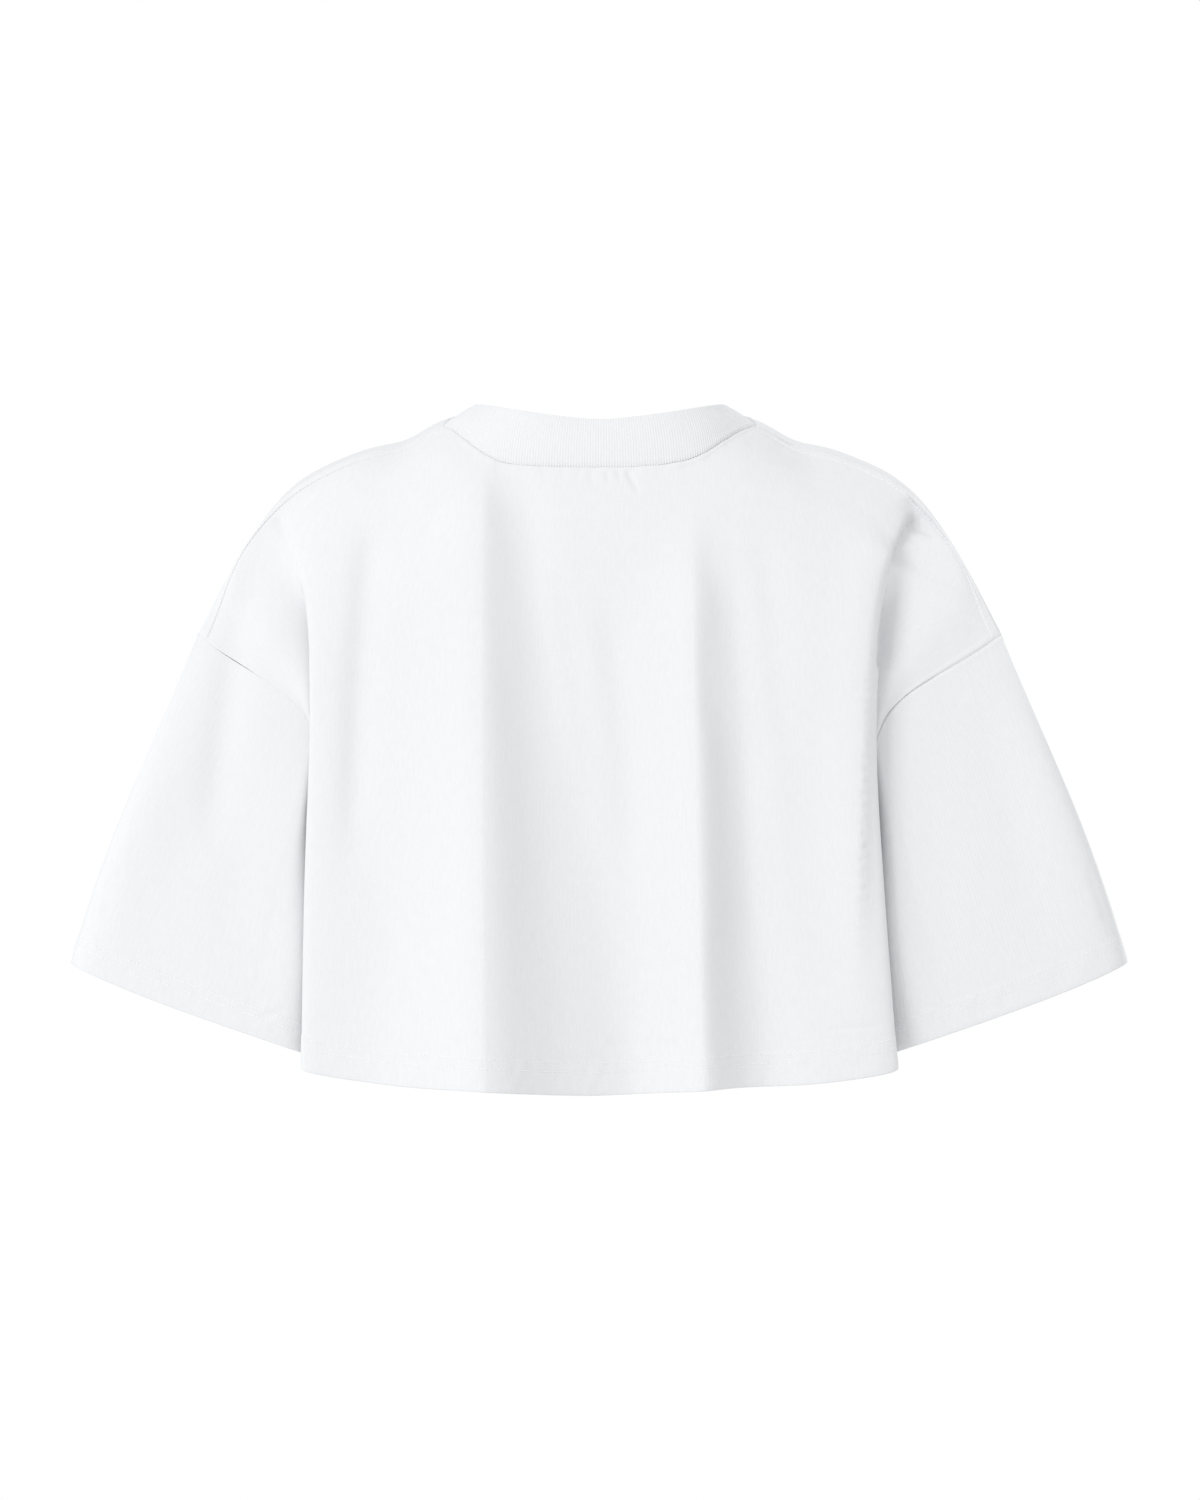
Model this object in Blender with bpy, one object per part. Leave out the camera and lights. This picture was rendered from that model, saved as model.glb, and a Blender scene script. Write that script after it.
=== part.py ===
"""Oversized cropped T-shirt with dropped shoulders, filled out as if worn, with nobody in it.

Five cut and sewn pieces, each one closed solid: back, front, two sleeves and the rib neckband.
The wearer faces -Y and +X is the wearer's left. The origin lies at the base of the neck, between
the two high shoulder points, where the garment is held. Sizes below are millimetres.
"""
from collections import namedtuple
from math import cos, exp, pi, radians, sin

import bmesh
import bpy
import numpy as np

MM = 0.001

# ---- driving dimensions, in millimetres ----
JERSEY = 1.6                  # wall of heavy cotton jersey
RIB = 2.6                     # wall of the folded rib band
SEAM_GAP = 0.3                # between two pieces along a seam
SEAM_AGREES = (0.2, 0.7)      # the two sides share a direction more as its cosine grows between these
SHARP_ANGLE = radians(50)     # edges sharper than this are shaded sharp

BACK_NECK_DROP = 30.0         # origin down to the neck seam at centre back
BACK_NECK_POWER = {1: 4.4, -1: 3.0}    # left and right; higher makes the neck seam flatter
FRONT_NECK_DROP = 82.0        # origin down to the neck seam at centre front
FRONT_NECK_POWER = {1: 3.0, -1: 3.0}
BAND_SIDE_HALF = 86.5         # half width of the band's top edge
BAND_SIDE_RISE = 17.6         # band's top edge above the origin, at the sides
BAND_BACK_RISE = 4.2          # the same at centre back
BAND_FRONT_RISE = -54.0       # the same at centre front
BAND_BACK_DEPTH = 54.0        # top edge at centre back, behind the origin
BAND_FRONT_DEPTH = -78.0      # top edge at centre front
BAND_SIDE_DEPTH = 4.0         # top edge at the sides
BAND_BULGE = 2.0              # how far the band rounds outwards at mid height
BAND_SPREAD = 0.27            # how much faster the top edge widens near the middle than near the sides
BAND_ROUND = 3.2              # roundness of the top edge seen from above; 2 is an ellipse
BAND_BACK_DIP = 1.5           # how the top edge falls from the sides to centre back
BAND_FRONT_DIP = 2.6          # the same to centre front
NECK_MIDDLE = (0.0, -10.0, 0.0)   # the point that the band rounds out from

CUFF_CENTRE = (277.0, 0.0, -403.2)
CUFF_HALF_WIDTH = 92.0        # half the cuff's opening, across
CUFF_HALF_DEPTH = 58.0        # half the cuff's opening, front to back
CUFF_TILT = radians(20.8)     # the cuff's line, outer end up
CUFF_SQUARENESS = 7.0         # 2 is an ellipse; higher makes flatter faces and tighter corners
CUFF_TAPER = 0.08             # how much shallower the cuff is at its outer end, as a share
CUFF_BACKSET = {1: 11.0, -1: 2.0}   # how far each cuff hangs back, left and right
CUFF_LEAN = 4.0               # how far the cuff's back leans outwards and its front inwards
CUFF_DROOP = 4.5              # how much lower the cuff hangs between its two ends
DROOP_SHARES = (0.6, 0.4)     # the droop at the middle, and what the outer side adds to it
CUFF_SAMPLES = 721            # points along half the cuff's line, before it is shared out
SLEEVE_SEAM_ANGLE = radians(28.0)   # where the shoulder seam's line meets the cuff, from its outer end
SLEEVE_SWELL = 5.5            # how far the sleeve rounds out between armhole and cuff
SWELL_LOWNESS = 1.5           # above 1, the sleeve is roundest nearer its cuff
SWELL_RANGE = (-1.0, 0.2)     # it comes in between these places across, from the inner end at -1
SWELL_OUT = 0.8               # the swell's share along the cuff's line
SWELL_DEEP = 0.3              # its share to the back and front
CORNER_RANGE = (0.4, 0.95)    # a corner comes in between these shares of the half width and depth
INNER_RANGE = (0.0, 0.5)      # and counts as beside the body between these shares of the half width
INNER_FILL = {1: 11.0, -1: 12.0}    # how far the corners beside the body are filled out, left and right
OUTER_FILL = {1: 4.0, -1: 5.0}      # the same for the outer corners
FRONT_FILL = 0.2              # share of these fills that the sleeve's front takes
FILL_INWARDS = 0.05           # share of the inner fill that goes towards the body
FILL_LOWNESS = 1.1            # above 1, the fill is greatest nearer the cuff

SIDE_EASE = 0.024             # the wearer's left side hangs this share wider than the right at mid height

# ---- the cross sections ----
# A panel is a net of columns (centre to side) and rows (neck and shoulder seam to hem). Each row below
# is one cross section of half a panel, seen from above: x is out from the centre and y is back. "fall"
# tells how high it lies, as a share of the way from the shoulder ridge to the hem. Columns: centre,
# blade, below the high shoulder point (neck), the flat's outer part (flank), the body's outer edge, the
# crease beside the arm, the back or front of the arm, and the panel's end, which is the armhole seam and,
# under it, the side seam. On the wearer's left the cloth lies further back beside the arm: left_rise is
# how far at the crease, left_arm_rise how far over the arm, and the two rows of shares say how much of
# each a column takes. The two panels share the row at fall 0.012, the shoulder seam.
Section = namedtuple(
    "Section",
    "fall centre_y blade_y neck_x neck_y flank_x flank_y edge_x edge_y crease_x crease_y"
    " arm_x arm_y end_x end_y left_rise left_arm_rise")
LEFT_RISE_SHARES = (0, 0, 0, 0, 0.4, 1, 0, 0)
LEFT_ARM_SHARES = (0, 0, 0, 0, 0, 0, 1, 1)
UNDERARM_FALL = 0.425         # the underarm point, where the armhole seam meets the side seam

BACK_SECTIONS = (
    Section(0.012, 44, 40, 109, 20, 149, 27, 188, 37, 220, 45, 249.0, 51.5, 276.5, 52.5, 0, 0),
    Section(0.075, 61, 59, 113, 53, 157, 52, 195, 53, 224, 52, 249, 56.5, 249, 57, 0, 1),
    Section(0.150, 71, 70, 118, 67, 165, 65, 200, 62, 214, 56, 229, 60, 214, 59, 3, 3),
    Section(0.230, 76, 76, 124, 75, 169, 73, 198, 67, 191, 57, 203, 62, 195, 60, 7, 6),
    Section(0.310, 78, 78, 128, 78, 171, 77, 195, 70, 182, 56, 187, 59, 190, 54, 8, 7),
    Section(0.425, 79, 79, 130, 79, 171, 78, 193.5, 71, 180, 49, 179, 21, 185, 0, 8, 2),
    Section(0.650, 79, 79, 134, 79, 175, 79, 197, 72, 182, 47, 177, 18, 177, 0, 6, 2),
    Section(1.000, 79, 79, 140, 79, 184, 79, 204, 73, 190, 47, 184, 18, 182, 0, 4, 0),
)

FRONT_SECTIONS = (
    Section(0.012, 12, 18, 109, 20, 149, 27, 188, 37, 220, 45, 249.0, 51.5, 276.5, 52.5, 0, 0),
    Section(0.000, -8, -6, 109.5, -2, 150, 0, 189, 0, 222, 0, 250, 0, 276.0, 0, 0, 0),
    Section(0.032, -44, -40, 111, -26, 152, -27, 192, -34, 224, -42, 252, -48, 267, -49, 0, 0),
    Section(0.115, -74, -71, 117, -60, 161, -57, 198, -54, 216, -51, 240, -54, 238, -54, 0, 0),
    Section(0.215, -90, -89, 124, -80, 168, -75, 194, -64, 190, -46, 210, -55, 197, -55, 0, 0),
    Section(0.305, -97, -96, 129, -89, 170, -82, 190, -68, 182, -45, 185.5, -51, 190, -47, 0, 0),
    Section(0.425, -101, -101, 132, -95, 171, -86, 189, -70, 179, -43, 179, -20, 185, 0, 0, 0),
    Section(0.650, -100, -101, 135, -96, 174, -87, 194, -72, 182, -43, 177, -18, 177, 0, 0, 0),
    Section(1.000, -98, -99, 140, -96, 181, -88, 202, -74, 190, -44, 184, -18, 182, 0, 0, 0),
)

# Where each named column stands along the panel's half width, and its ridge and hem heights.
Column = namedtuple("Column", "name at ridge_z back_hem_z front_hem_z")
COLUMNS = (
    Column("centre", 0.00, 7.5, -459.5, -449.0),
    Column("blade", 0.25, 7.5, -454.0, -447.5),
    Column("neck", 0.42, 7.5, -452.0, -445.0),
    Column("flank", 0.52, -8.0, -446.5, -442.5),
    Column("edge", 0.62, -24.3, -441.5, -440.0),
    Column("crease", 0.74, -47.0, -439.5, -438.5),
    Column("arm", 0.875, -88.0, -438.0, -438.0),
    Column("end", 1.00, -141.0, -438.0, -438.0),
)
NECK_AT = 0.42                # the column at the high shoulder point
BLADE_SHARE = 0.6             # the blade column's x, as a share of the neck column's
NECK_HOLLOW = 5.3             # how far the shoulder line dips beside the neck
HOLLOW_AT = 0.485             # where it dips most, as a column's place
HOLLOW_WIDTH = 0.045
HOLLOW_ENDS = 0.12            # the dip is gone this far down the panel

# Long soft folds that fall from the shoulder blades to the hem. A crest runs through top_x, mid_x and
# hem_x. A long flank rises to it from +X and a steep one falls from it towards -X, where the cloth dips
# below its own level and comes back. Each flank's reach and the height grow from the top to the hem, and
# the fold comes in between the falls "starts" and "full".
Fold = namedtuple(
    "Fold",
    "starts full top_x mid_x hem_x long_top long_hem steep_top steep_hem height_top height_hem")
BACK_FOLDS = (
    Fold(0.05, 0.16, 80, 79.5, 77.5, 60, 95, 24, 142, 3, 35),
    Fold(0.12, 0.32, -61, -66, -71, 46, 55, 28, 64, 4, 23),
)
FRONT_FOLDS = (
    Fold(0.10, 0.30, 66, 70, 76, 50, 80, 30, 90, 3, 14),
    Fold(0.14, 0.40, -84, -88, -92, 50, 70, 40, 70, 3, 11),
)
# The flanks' outlines: share of the reach, share of the height.
LONG_FLANK = ((0, 1), (0.05, 0.98), (0.3, 0.66), (0.6, 0.27), (0.85, 0.05), (1, 0), (1.4, 0), (3, 0))
STEEP_FLANK = ((0, 1), (0.05, 0.94), (0.22, 0.52), (0.38, 0.12), (0.55, -0.13), (0.72, -0.24),
               (0.86, -0.20), (1.1, -0.05), (1.3, 0), (3, 0))
FLANK_END = 3                 # the flanks' outlines are flat from well before here
FOLD_FADE = (0.50, 0.66)      # folds fade out between these columns, before the body's edge
SEAM_STRAIGHTENS = 0.78       # from this column on, the cloth is drawn to the side seam at y = 0

# ---- how finely the nets are divided ----
NECK_CELLS = 14               # centre to high shoulder point
SHOULDER_CELLS = 16           # high shoulder point to the panel's end
ARMHOLE_ROWS = 13
SIDE_ROWS = 8
SLEEVE_ROWS = 8
BAND_ROWS = 4
ARMHOLE_CROWDING = 1.15       # above 1, the armhole rows crowd towards the shoulder
FALL_SAMPLES = 400            # places at which a panel's falls are read before they are turned round

CLOTH_COLOUR = (0.86, 0.88, 0.91, 1.0)
RIB_COLOUR = (0.84, 0.86, 0.90, 1.0)
CLOTH_ROUGHNESS = 0.9


# ---- curves ----

def spline(knots, values, at):
    """Natural cubic spline through values (one row a knot), read at the places in at."""
    knots = np.asarray(knots, float)
    values = np.asarray(values, float)
    if values.ndim == 1:
        return spline(knots, values[:, None], at)[:, 0]
    count = len(knots)
    step = np.diff(knots)
    slope = np.diff(values, axis=0) / step[:, None]
    matrix = np.eye(count)
    right = np.zeros_like(values)
    for i in range(1, count - 1):
        matrix[i, i - 1] = step[i - 1]
        matrix[i, i] = 2 * (step[i - 1] + step[i])
        matrix[i, i + 1] = step[i]
        right[i] = 6 * (slope[i] - slope[i - 1])
    bend = np.linalg.solve(matrix, right)
    at = np.atleast_1d(np.asarray(at, float))
    k = np.clip(np.searchsorted(knots, at) - 1, 0, count - 2)
    a = (knots[k + 1] - at)[:, None]
    b = (at - knots[k])[:, None]
    h = step[k][:, None]
    return (bend[k] * a ** 3 + bend[k + 1] * b ** 3) / (6 * h) \
        + (values[k] / h - bend[k] * h / 6) * a + (values[k + 1] / h - bend[k + 1] * h / 6) * b


def smooth_step(low, high, value):
    share = np.clip((value - low) / (high - low), 0.0, 1.0)
    return share * share * (3 - 2 * share)


def unit(vectors):
    length = np.linalg.norm(vectors, axis=-1, keepdims=True)
    return vectors / np.maximum(length, 1e-9)


# ---- panels ----

def whole_width(half):
    """Half a row of column values, centre first, mirrored to the full width."""
    half = np.asarray(half, float)
    return np.concatenate([half[:0:-1], half])


def column_places():
    at = np.array([column.at for column in COLUMNS])
    return np.concatenate([-at[:0:-1], at])


def section_values(section):
    """x and y of one cross section at each named column, over the full width."""
    x = np.array([0.0, BLADE_SHARE * section.neck_x, section.neck_x, section.flank_x, section.edge_x,
                  section.crease_x, section.arm_x, section.end_x])
    y = np.array([section.centre_y, section.blade_y, section.neck_y, section.flank_y, section.edge_y,
                  section.crease_y, section.arm_y, section.end_y], float)
    left = y + section.left_rise * np.array(LEFT_RISE_SHARES)
    left += section.left_arm_rise * np.array(LEFT_ARM_SHARES)
    return np.concatenate([-x[:0:-1], x]), np.concatenate([y[:0:-1], left])


def fold_lift(folds, x, down):
    """How far the long folds lift the cloth at x, a share of the way down."""
    lift = np.zeros_like(x)
    for fold in folds:
        path = np.polyfit((0.0, 0.5, 1.0), (fold.top_x, fold.mid_x, fold.hem_x), 2)
        off = x - np.polyval(path, down)
        long_reach = fold.long_top + (fold.long_hem - fold.long_top) * down
        steep_reach = fold.steep_top + (fold.steep_hem - fold.steep_top) * down
        height = fold.height_top + (fold.height_hem - fold.height_top) * down
        share = np.clip(np.where(off > 0, off / long_reach, -off / steep_reach), 0, FLANK_END)
        flank = np.where(off > 0, spline(*zip(*LONG_FLANK), share), spline(*zip(*STEEP_FLANK), share))
        lift += height * flank * smooth_step(fold.starts, fold.full, down)
    return lift


def panel_row_places():
    armhole = (np.arange(ARMHOLE_ROWS + 1) / ARMHOLE_ROWS) ** ARMHOLE_CROWDING
    side = np.arange(1, SIDE_ROWS + 1) / SIDE_ROWS
    return np.concatenate([armhole, 1.0 + side])


def panel_column_places():
    neck = np.linspace(0.0, NECK_AT, NECK_CELLS + 1)
    shoulder = np.linspace(NECK_AT, 1.0, SHOULDER_CELLS + 1)[1:]
    half = np.concatenate([neck, shoulder])
    return np.concatenate([-half[:0:-1], half])


def panel_net(sections, hem_field, neck_drop, neck_power, folds):
    """Points of a panel's outer face, row by row from the neck and shoulder seam to the hem."""
    level = arc_places(sections)
    underarm = level[[section.fall for section in sections].index(UNDERARM_FALL)]
    places = column_places()
    columns = panel_column_places()
    across = [section_values(section) for section in sections]
    x_at = spline(places, np.array([x for x, y in across]).T, columns)
    y_at = spline(places, np.array([y for x, y in across]).T, columns)
    ridge = spline(places, whole_width([column.ridge_z for column in COLUMNS]), columns)
    hem = spline(places, whole_width([getattr(column, hem_field) for column in COLUMNS]), columns)
    falls = [section.fall for section in sections]
    rows = panel_row_places()
    net = np.zeros((len(rows), len(columns), 3))
    fine = np.linspace(0.0, 1.0, FALL_SAMPLES)
    fall_fine = spline(level, falls, fine)
    peak = int(np.argmin(fall_fine))
    for j, column in enumerate(columns):
        start = 0.0
        if abs(column) < NECK_AT - 1e-6:
            deepest = (ridge[j] + neck_drop) / (ridge[j] - hem[j])
            cut = float(np.interp(deepest, fall_fine[peak:], fine[peak:]))
            start = cut * (1 - (abs(column) / NECK_AT) ** neck_power[1 if column > 0 else -1])
        side_fall = UNDERARM_FALL + (1 - UNDERARM_FALL) * (rows - 1.0)
        place = np.where(rows <= 1.0,
                         start + (underarm - start) * rows,
                         np.interp(side_fall, fall_fine[peak:], fine[peak:]))
        values = spline(level, np.column_stack([x_at[j], y_at[j], falls]), place)
        down = values[:, 2]
        x = values[:, 0] * (1 + np.sign(column) * SIDE_EASE * np.sin(pi * np.clip(down, 0, 1)))
        lift = fold_lift(folds, x, down) * (1 - smooth_step(*FOLD_FADE, abs(column)))
        net[:, j, 0] = x
        net[:, j, 1] = values[:, 1] + lift * (1 if hem_field == "back_hem_z" else -1)
        hollow = NECK_HOLLOW * exp(-((abs(column) - HOLLOW_AT) / HOLLOW_WIDTH) ** 2)
        net[:, j, 2] = ridge[j] + (hem[j] - ridge[j]) * down
        net[:, j, 2] -= hollow * (1 - smooth_step(0.0, HOLLOW_ENDS, down))
    straighten_side_seam(net, columns)
    return net


def straighten_side_seam(net, columns):
    """Take the spline's small swing at the panel's ends out, so that the side seam lies at y = 0."""
    near_end = smooth_step(SEAM_STRAIGHTENS, 1.0, np.abs(columns))
    for half in (columns < 0, columns > 0):
        end = 0 if columns[half][0] == columns[0] else -1
        swing = net[ARMHOLE_ROWS:, end, 1].copy()
        net[ARMHOLE_ROWS:, half, 1] -= swing[:, None] * near_end[half]


def arc_places(sections):
    """Each section's place along the panel, 0 at the top and 1 at the hem, by the cloth's length."""
    neck = COLUMNS[2]
    points = np.array([[section.neck_x, section.neck_y,
                        neck.ridge_z + (neck.back_hem_z - neck.ridge_z) * section.fall]
                       for section in sections])
    return length_shares(points)


def length_shares(points):
    """Each point's distance along the line, as a share of its whole length."""
    run = np.concatenate([[0.0], np.cumsum(np.linalg.norm(np.diff(points, axis=0), axis=1))])
    return run / run[-1]


# ---- sleeves ----

def cuff_points(shares, side, turn):
    """Points of half the cuff, from the shoulder seam's line over the back (turn 1) or the front (-1) to
    its inner end, at the given shares of that length. With them come the ways that the swell pushes each
    point's line half way down the sleeve, and that the sleeve's corners are filled out."""
    angles = np.linspace(SLEEVE_SEAM_ANGLE, pi * turn, CUFF_SAMPLES)
    power = 2 / CUFF_SQUARENESS
    across = np.sign(np.cos(angles)) * np.abs(np.cos(angles)) ** power
    deep = np.sign(np.sin(angles)) * np.abs(np.sin(angles)) ** power
    shallower = 1 - CUFF_TAPER * (across + 1) / 2
    out = np.array([side * cos(CUFF_TILT), 0.0, sin(CUFF_TILT)])
    back = np.array([0.0, 1.0, 0.0])
    spread = across * CUFF_HALF_WIDTH + deep * shallower * CUFF_LEAN
    points = spread[:, None] * out + (deep * shallower * CUFF_HALF_DEPTH)[:, None] * back
    points += np.array(CUFF_CENTRE) * [side, 1, 1] + CUFF_BACKSET[side] * back
    at_middle, at_outside = DROOP_SHARES
    points[:, 2] -= CUFF_DROOP * (1 - across ** 2) * (at_middle + at_outside * across)
    run = length_shares(points)
    swell = SWELL_OUT * across[:, None] * out + SWELL_DEEP * np.sin(angles)[:, None] * back
    swell *= SLEEVE_SWELL * smooth_step(*SWELL_RANGE, across)[:, None]
    corner = smooth_step(*CORNER_RANGE, np.abs(across)) * smooth_step(*CORNER_RANGE, np.abs(deep))
    inner = smooth_step(*INNER_RANGE, -across)
    fill = np.sign(deep)[:, None] * back - FILL_INWARDS * inner[:, None] * out
    fill *= (corner * (OUTER_FILL[side] + (INNER_FILL[side] - OUTER_FILL[side]) * inner))[:, None]
    fill *= 1 if turn > 0 else FRONT_FILL
    return [np.column_stack([np.interp(shares, run, part) for part in way.T])
            for way in (points, swell, fill)]


def sleeve_net(back, front, side):
    """Points of a sleeve's outer face, ring by ring from the armhole seam to the cuff."""
    end = -1 if side > 0 else 0
    behind = back[:ARMHOLE_ROWS + 1, end]
    before = front[:ARMHOLE_ROWS + 1, end]
    armhole = np.concatenate([behind, before[ARMHOLE_ROWS - 1:0:-1]])
    halves = [cuff_points(length_shares(behind), side, 1),
              cuff_points(length_shares(before)[ARMHOLE_ROWS - 1:0:-1], side, -1)]
    cuff, swell, fill = (np.concatenate([first, second]) for first, second in zip(*halves))
    rings = []
    for row in range(SLEEVE_ROWS + 1):
        share = row / SLEEVE_ROWS
        rings.append(armhole + (cuff - armhole) * share + swell * sin(pi * share ** SWELL_LOWNESS)
                     + fill * sin(pi * share ** FILL_LOWNESS))
    return np.array(rings)


# ---- neckband ----

def neck_ring(back, front):
    """The neck seam, once round, from one high shoulder point over the back to the other and on."""
    first = SHOULDER_CELLS
    last = SHOULDER_CELLS + 2 * NECK_CELLS
    behind = back[0, first:last + 1]
    before = front[0, first:last + 1]
    return np.concatenate([behind, before[-2:0:-1]])


def band_net(back, front):
    """Points of the band's outer face, ring by ring from the neck seam to the folded top edge."""
    seam = neck_ring(back, front)
    cells = 2 * NECK_CELLS
    index = np.arange(len(seam))
    behind = index <= cells
    place = np.where(behind, index, 2 * cells - index) / NECK_CELLS - 1.0
    share = np.abs(place)
    reach = share * (1 + BAND_SPREAD * (1 - share ** 2))
    inwards = np.sqrt(1 - np.clip(reach, 0, 1) ** BAND_ROUND)
    x = np.sign(place) * BAND_SIDE_HALF * reach
    back_y = BAND_SIDE_DEPTH + (BAND_BACK_DEPTH - BAND_SIDE_DEPTH) * inwards
    front_y = BAND_SIDE_DEPTH + (BAND_FRONT_DEPTH - BAND_SIDE_DEPTH) * inwards
    back_z = BAND_BACK_RISE + (BAND_SIDE_RISE - BAND_BACK_RISE) * reach ** BAND_BACK_DIP
    front_z = BAND_FRONT_RISE + (BAND_SIDE_RISE - BAND_FRONT_RISE) * reach ** BAND_FRONT_DIP
    top = np.column_stack([x, np.where(behind, back_y, front_y), np.where(behind, back_z, front_z)])
    outward = unit((seam - NECK_MIDDLE) * [1, 1, 0])
    rings = []
    for row in range(BAND_ROWS + 1):
        share = row / BAND_ROWS
        rings.append(seam + (top - seam) * share + BAND_BULGE * sin(pi * share) * outward)
    return np.array(rings)


# ---- walls ----

def net_normals(net, ring):
    """Unit normals of a net; ring says that its columns close round."""
    if ring:
        across = np.roll(net, -1, axis=1) - np.roll(net, 1, axis=1)
    else:
        across = np.gradient(net, axis=1)
    down = np.gradient(net, axis=0)
    return unit(np.cross(across, down))


def shared(first, second):
    """One direction for both sides of a seam where they nearly agree, each side's own elsewhere."""
    agree = smooth_step(*SEAM_AGREES, np.sum(first * second, axis=-1))[..., None]
    both = unit(first + second)
    return unit(first + (both - first) * agree), unit(second + (both - second) * agree)


def pull_back(net, edge, ring=False):
    """Move one edge of a net inwards by half a seam gap, at right angles to the seam."""
    if edge == "top":
        line, inside = net[0], net[1]
    elif edge == "bottom":
        line, inside = net[-1], net[-2]
    elif edge == "first":
        line, inside = net[:, 0], net[:, 1]
    else:
        line, inside = net[:, -1], net[:, -2]
    if ring:
        tangent = unit(np.roll(line, -1, axis=0) - np.roll(line, 1, axis=0))
    else:
        tangent = unit(np.gradient(line, axis=0))
    inwards = inside - line
    inwards = unit(inwards - np.sum(inwards * tangent, axis=-1, keepdims=True) * tangent)
    line += inwards * SEAM_GAP / 2


def wall_solid(name, net, normals, thickness, ring, colour):
    """A closed wall: the net, the same net moved inwards by the thickness, and the edges between."""
    rows, columns = net.shape[:2]
    outer = net.reshape(-1, 3) * MM
    inner = (net - normals * thickness).reshape(-1, 3) * MM
    half = rows * columns
    faces = []
    cells = columns if ring else columns - 1
    for i in range(rows - 1):
        for j in range(cells):
            a = i * columns + j
            b = i * columns + (j + 1) % columns
            c = b + columns
            d = a + columns
            faces.append((a, b, c, d))
            faces.append((half + d, half + c, half + b, half + a))
    for j in range(cells):
        a, b = j, (j + 1) % columns
        faces.append((b, a, half + a, half + b))
        a, b = a + (rows - 1) * columns, b + (rows - 1) * columns
        faces.append((a, b, half + b, half + a))
    if not ring:
        for i in range(rows - 1):
            a, b = i * columns, (i + 1) * columns
            faces.append((a, b, half + b, half + a))
            a, b = a + columns - 1, b + columns - 1
            faces.append((b, a, half + a, half + b))
    mesh = bpy.data.meshes.new(name)
    mesh.from_pydata(np.concatenate([outer, inner]).tolist(), [], faces)
    work = bmesh.new()
    work.from_mesh(mesh)
    bmesh.ops.triangulate(work, faces=work.faces)
    bmesh.ops.recalc_face_normals(work, faces=work.faces)
    work.to_mesh(mesh)
    work.free()
    mesh.shade_smooth()
    mesh.set_sharp_from_angle(angle=SHARP_ANGLE)
    mesh.materials.append(cloth_material(name, colour))
    piece = bpy.data.objects.new(name, mesh)
    bpy.context.scene.collection.objects.link(piece)
    return piece


def cloth_material(name, colour):
    material = bpy.data.materials.new("cotton_" + name)
    material.use_nodes = True
    shader = material.node_tree.nodes["Principled BSDF"]
    shader.inputs["Base Color"].default_value = colour
    shader.inputs["Roughness"].default_value = CLOTH_ROUGHNESS
    shader.inputs["Metallic"].default_value = 0.0
    return material


# ---- the garment ----

def main():
    for old in list(bpy.data.objects):
        bpy.data.objects.remove(old, do_unlink=True)

    back = panel_net(BACK_SECTIONS, "back_hem_z", BACK_NECK_DROP, BACK_NECK_POWER, BACK_FOLDS)
    front = panel_net(FRONT_SECTIONS, "front_hem_z", FRONT_NECK_DROP, FRONT_NECK_POWER, FRONT_FOLDS)
    front[0, shoulder_columns()] = back[0, shoulder_columns()]
    front[ARMHOLE_ROWS:, [0, -1]] = back[ARMHOLE_ROWS:, [0, -1]]
    sleeves = {side: sleeve_net(back, front, side) for side in (1, -1)}
    band = band_net(back, front)

    back_out = net_normals(back, False)
    front_out = -net_normals(front, False)
    sleeve_out = {side: outward_from(sleeves[side]) for side in (1, -1)}
    band_out = outward_from(band)

    # shoulder and side seams: the panels agree on one direction for their edges
    join(back_out, front_out, [(0, j) for j in shoulder_columns()])
    for side, end in ((1, -1), (-1, 0)):
        join(back_out, front_out, [(i, end) for i in range(ARMHOLE_ROWS, back.shape[0])])
        for k, (which, i) in enumerate(armhole_index()):
            if i == ARMHOLE_ROWS:
                continue
            panel = back_out if which == "back" else front_out
            panel[i, end], sleeve_out[side][0, k] = shared(panel[i, end], sleeve_out[side][0, k])
    for k, (which, j) in enumerate(neck_index()):
        panel = back_out if which == "back" else front_out
        panel[0, j], band_out[0, k] = shared(panel[0, j], band_out[0, k])

    for panel in (back, front):
        pull_back(panel, "first")
        pull_back(panel, "last")
        pull_back(panel, "top")
    for side in (1, -1):
        pull_back(sleeves[side], "top", ring=True)
    pull_back(band, "top", ring=True)

    pieces = [
        wall_solid("back", back, back_out, JERSEY, False, CLOTH_COLOUR),
        wall_solid("front", front, front_out, JERSEY, False, CLOTH_COLOUR),
        wall_solid("sleeve_left", sleeves[1], sleeve_out[1], JERSEY, True, CLOTH_COLOUR),
        wall_solid("sleeve_right", sleeves[-1], sleeve_out[-1], JERSEY, True, CLOTH_COLOUR),
        wall_solid("neckband", band, band_out, RIB, True, RIB_COLOUR),
    ]
    garment = bpy.data.objects.new("crop_top", None)
    bpy.context.scene.collection.objects.link(garment)
    for piece in pieces:
        piece.parent = garment


def outward_from(net):
    """Normals of a ring net, pointing away from its middle."""
    normals = net_normals(net, True)
    middle = net.mean(axis=1, keepdims=True)
    if np.sum(normals * (net - middle)) < 0:
        normals = -normals
    return normals


def join(first, second, places):
    """One direction for the edges of two panels that carry on smoothly into each other."""
    for place in places:
        first[place] = second[place] = unit(first[place] + second[place])


def shoulder_columns():
    last = 2 * (SHOULDER_CELLS + NECK_CELLS)
    return list(range(SHOULDER_CELLS + 1)) + list(range(last - SHOULDER_CELLS, last + 1))


def armhole_index():
    """The panel and row that each point of a sleeve's first ring lies on."""
    behind = [("back", i) for i in range(ARMHOLE_ROWS + 1)]
    return behind + [("front", i) for i in range(ARMHOLE_ROWS - 1, 0, -1)]


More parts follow.
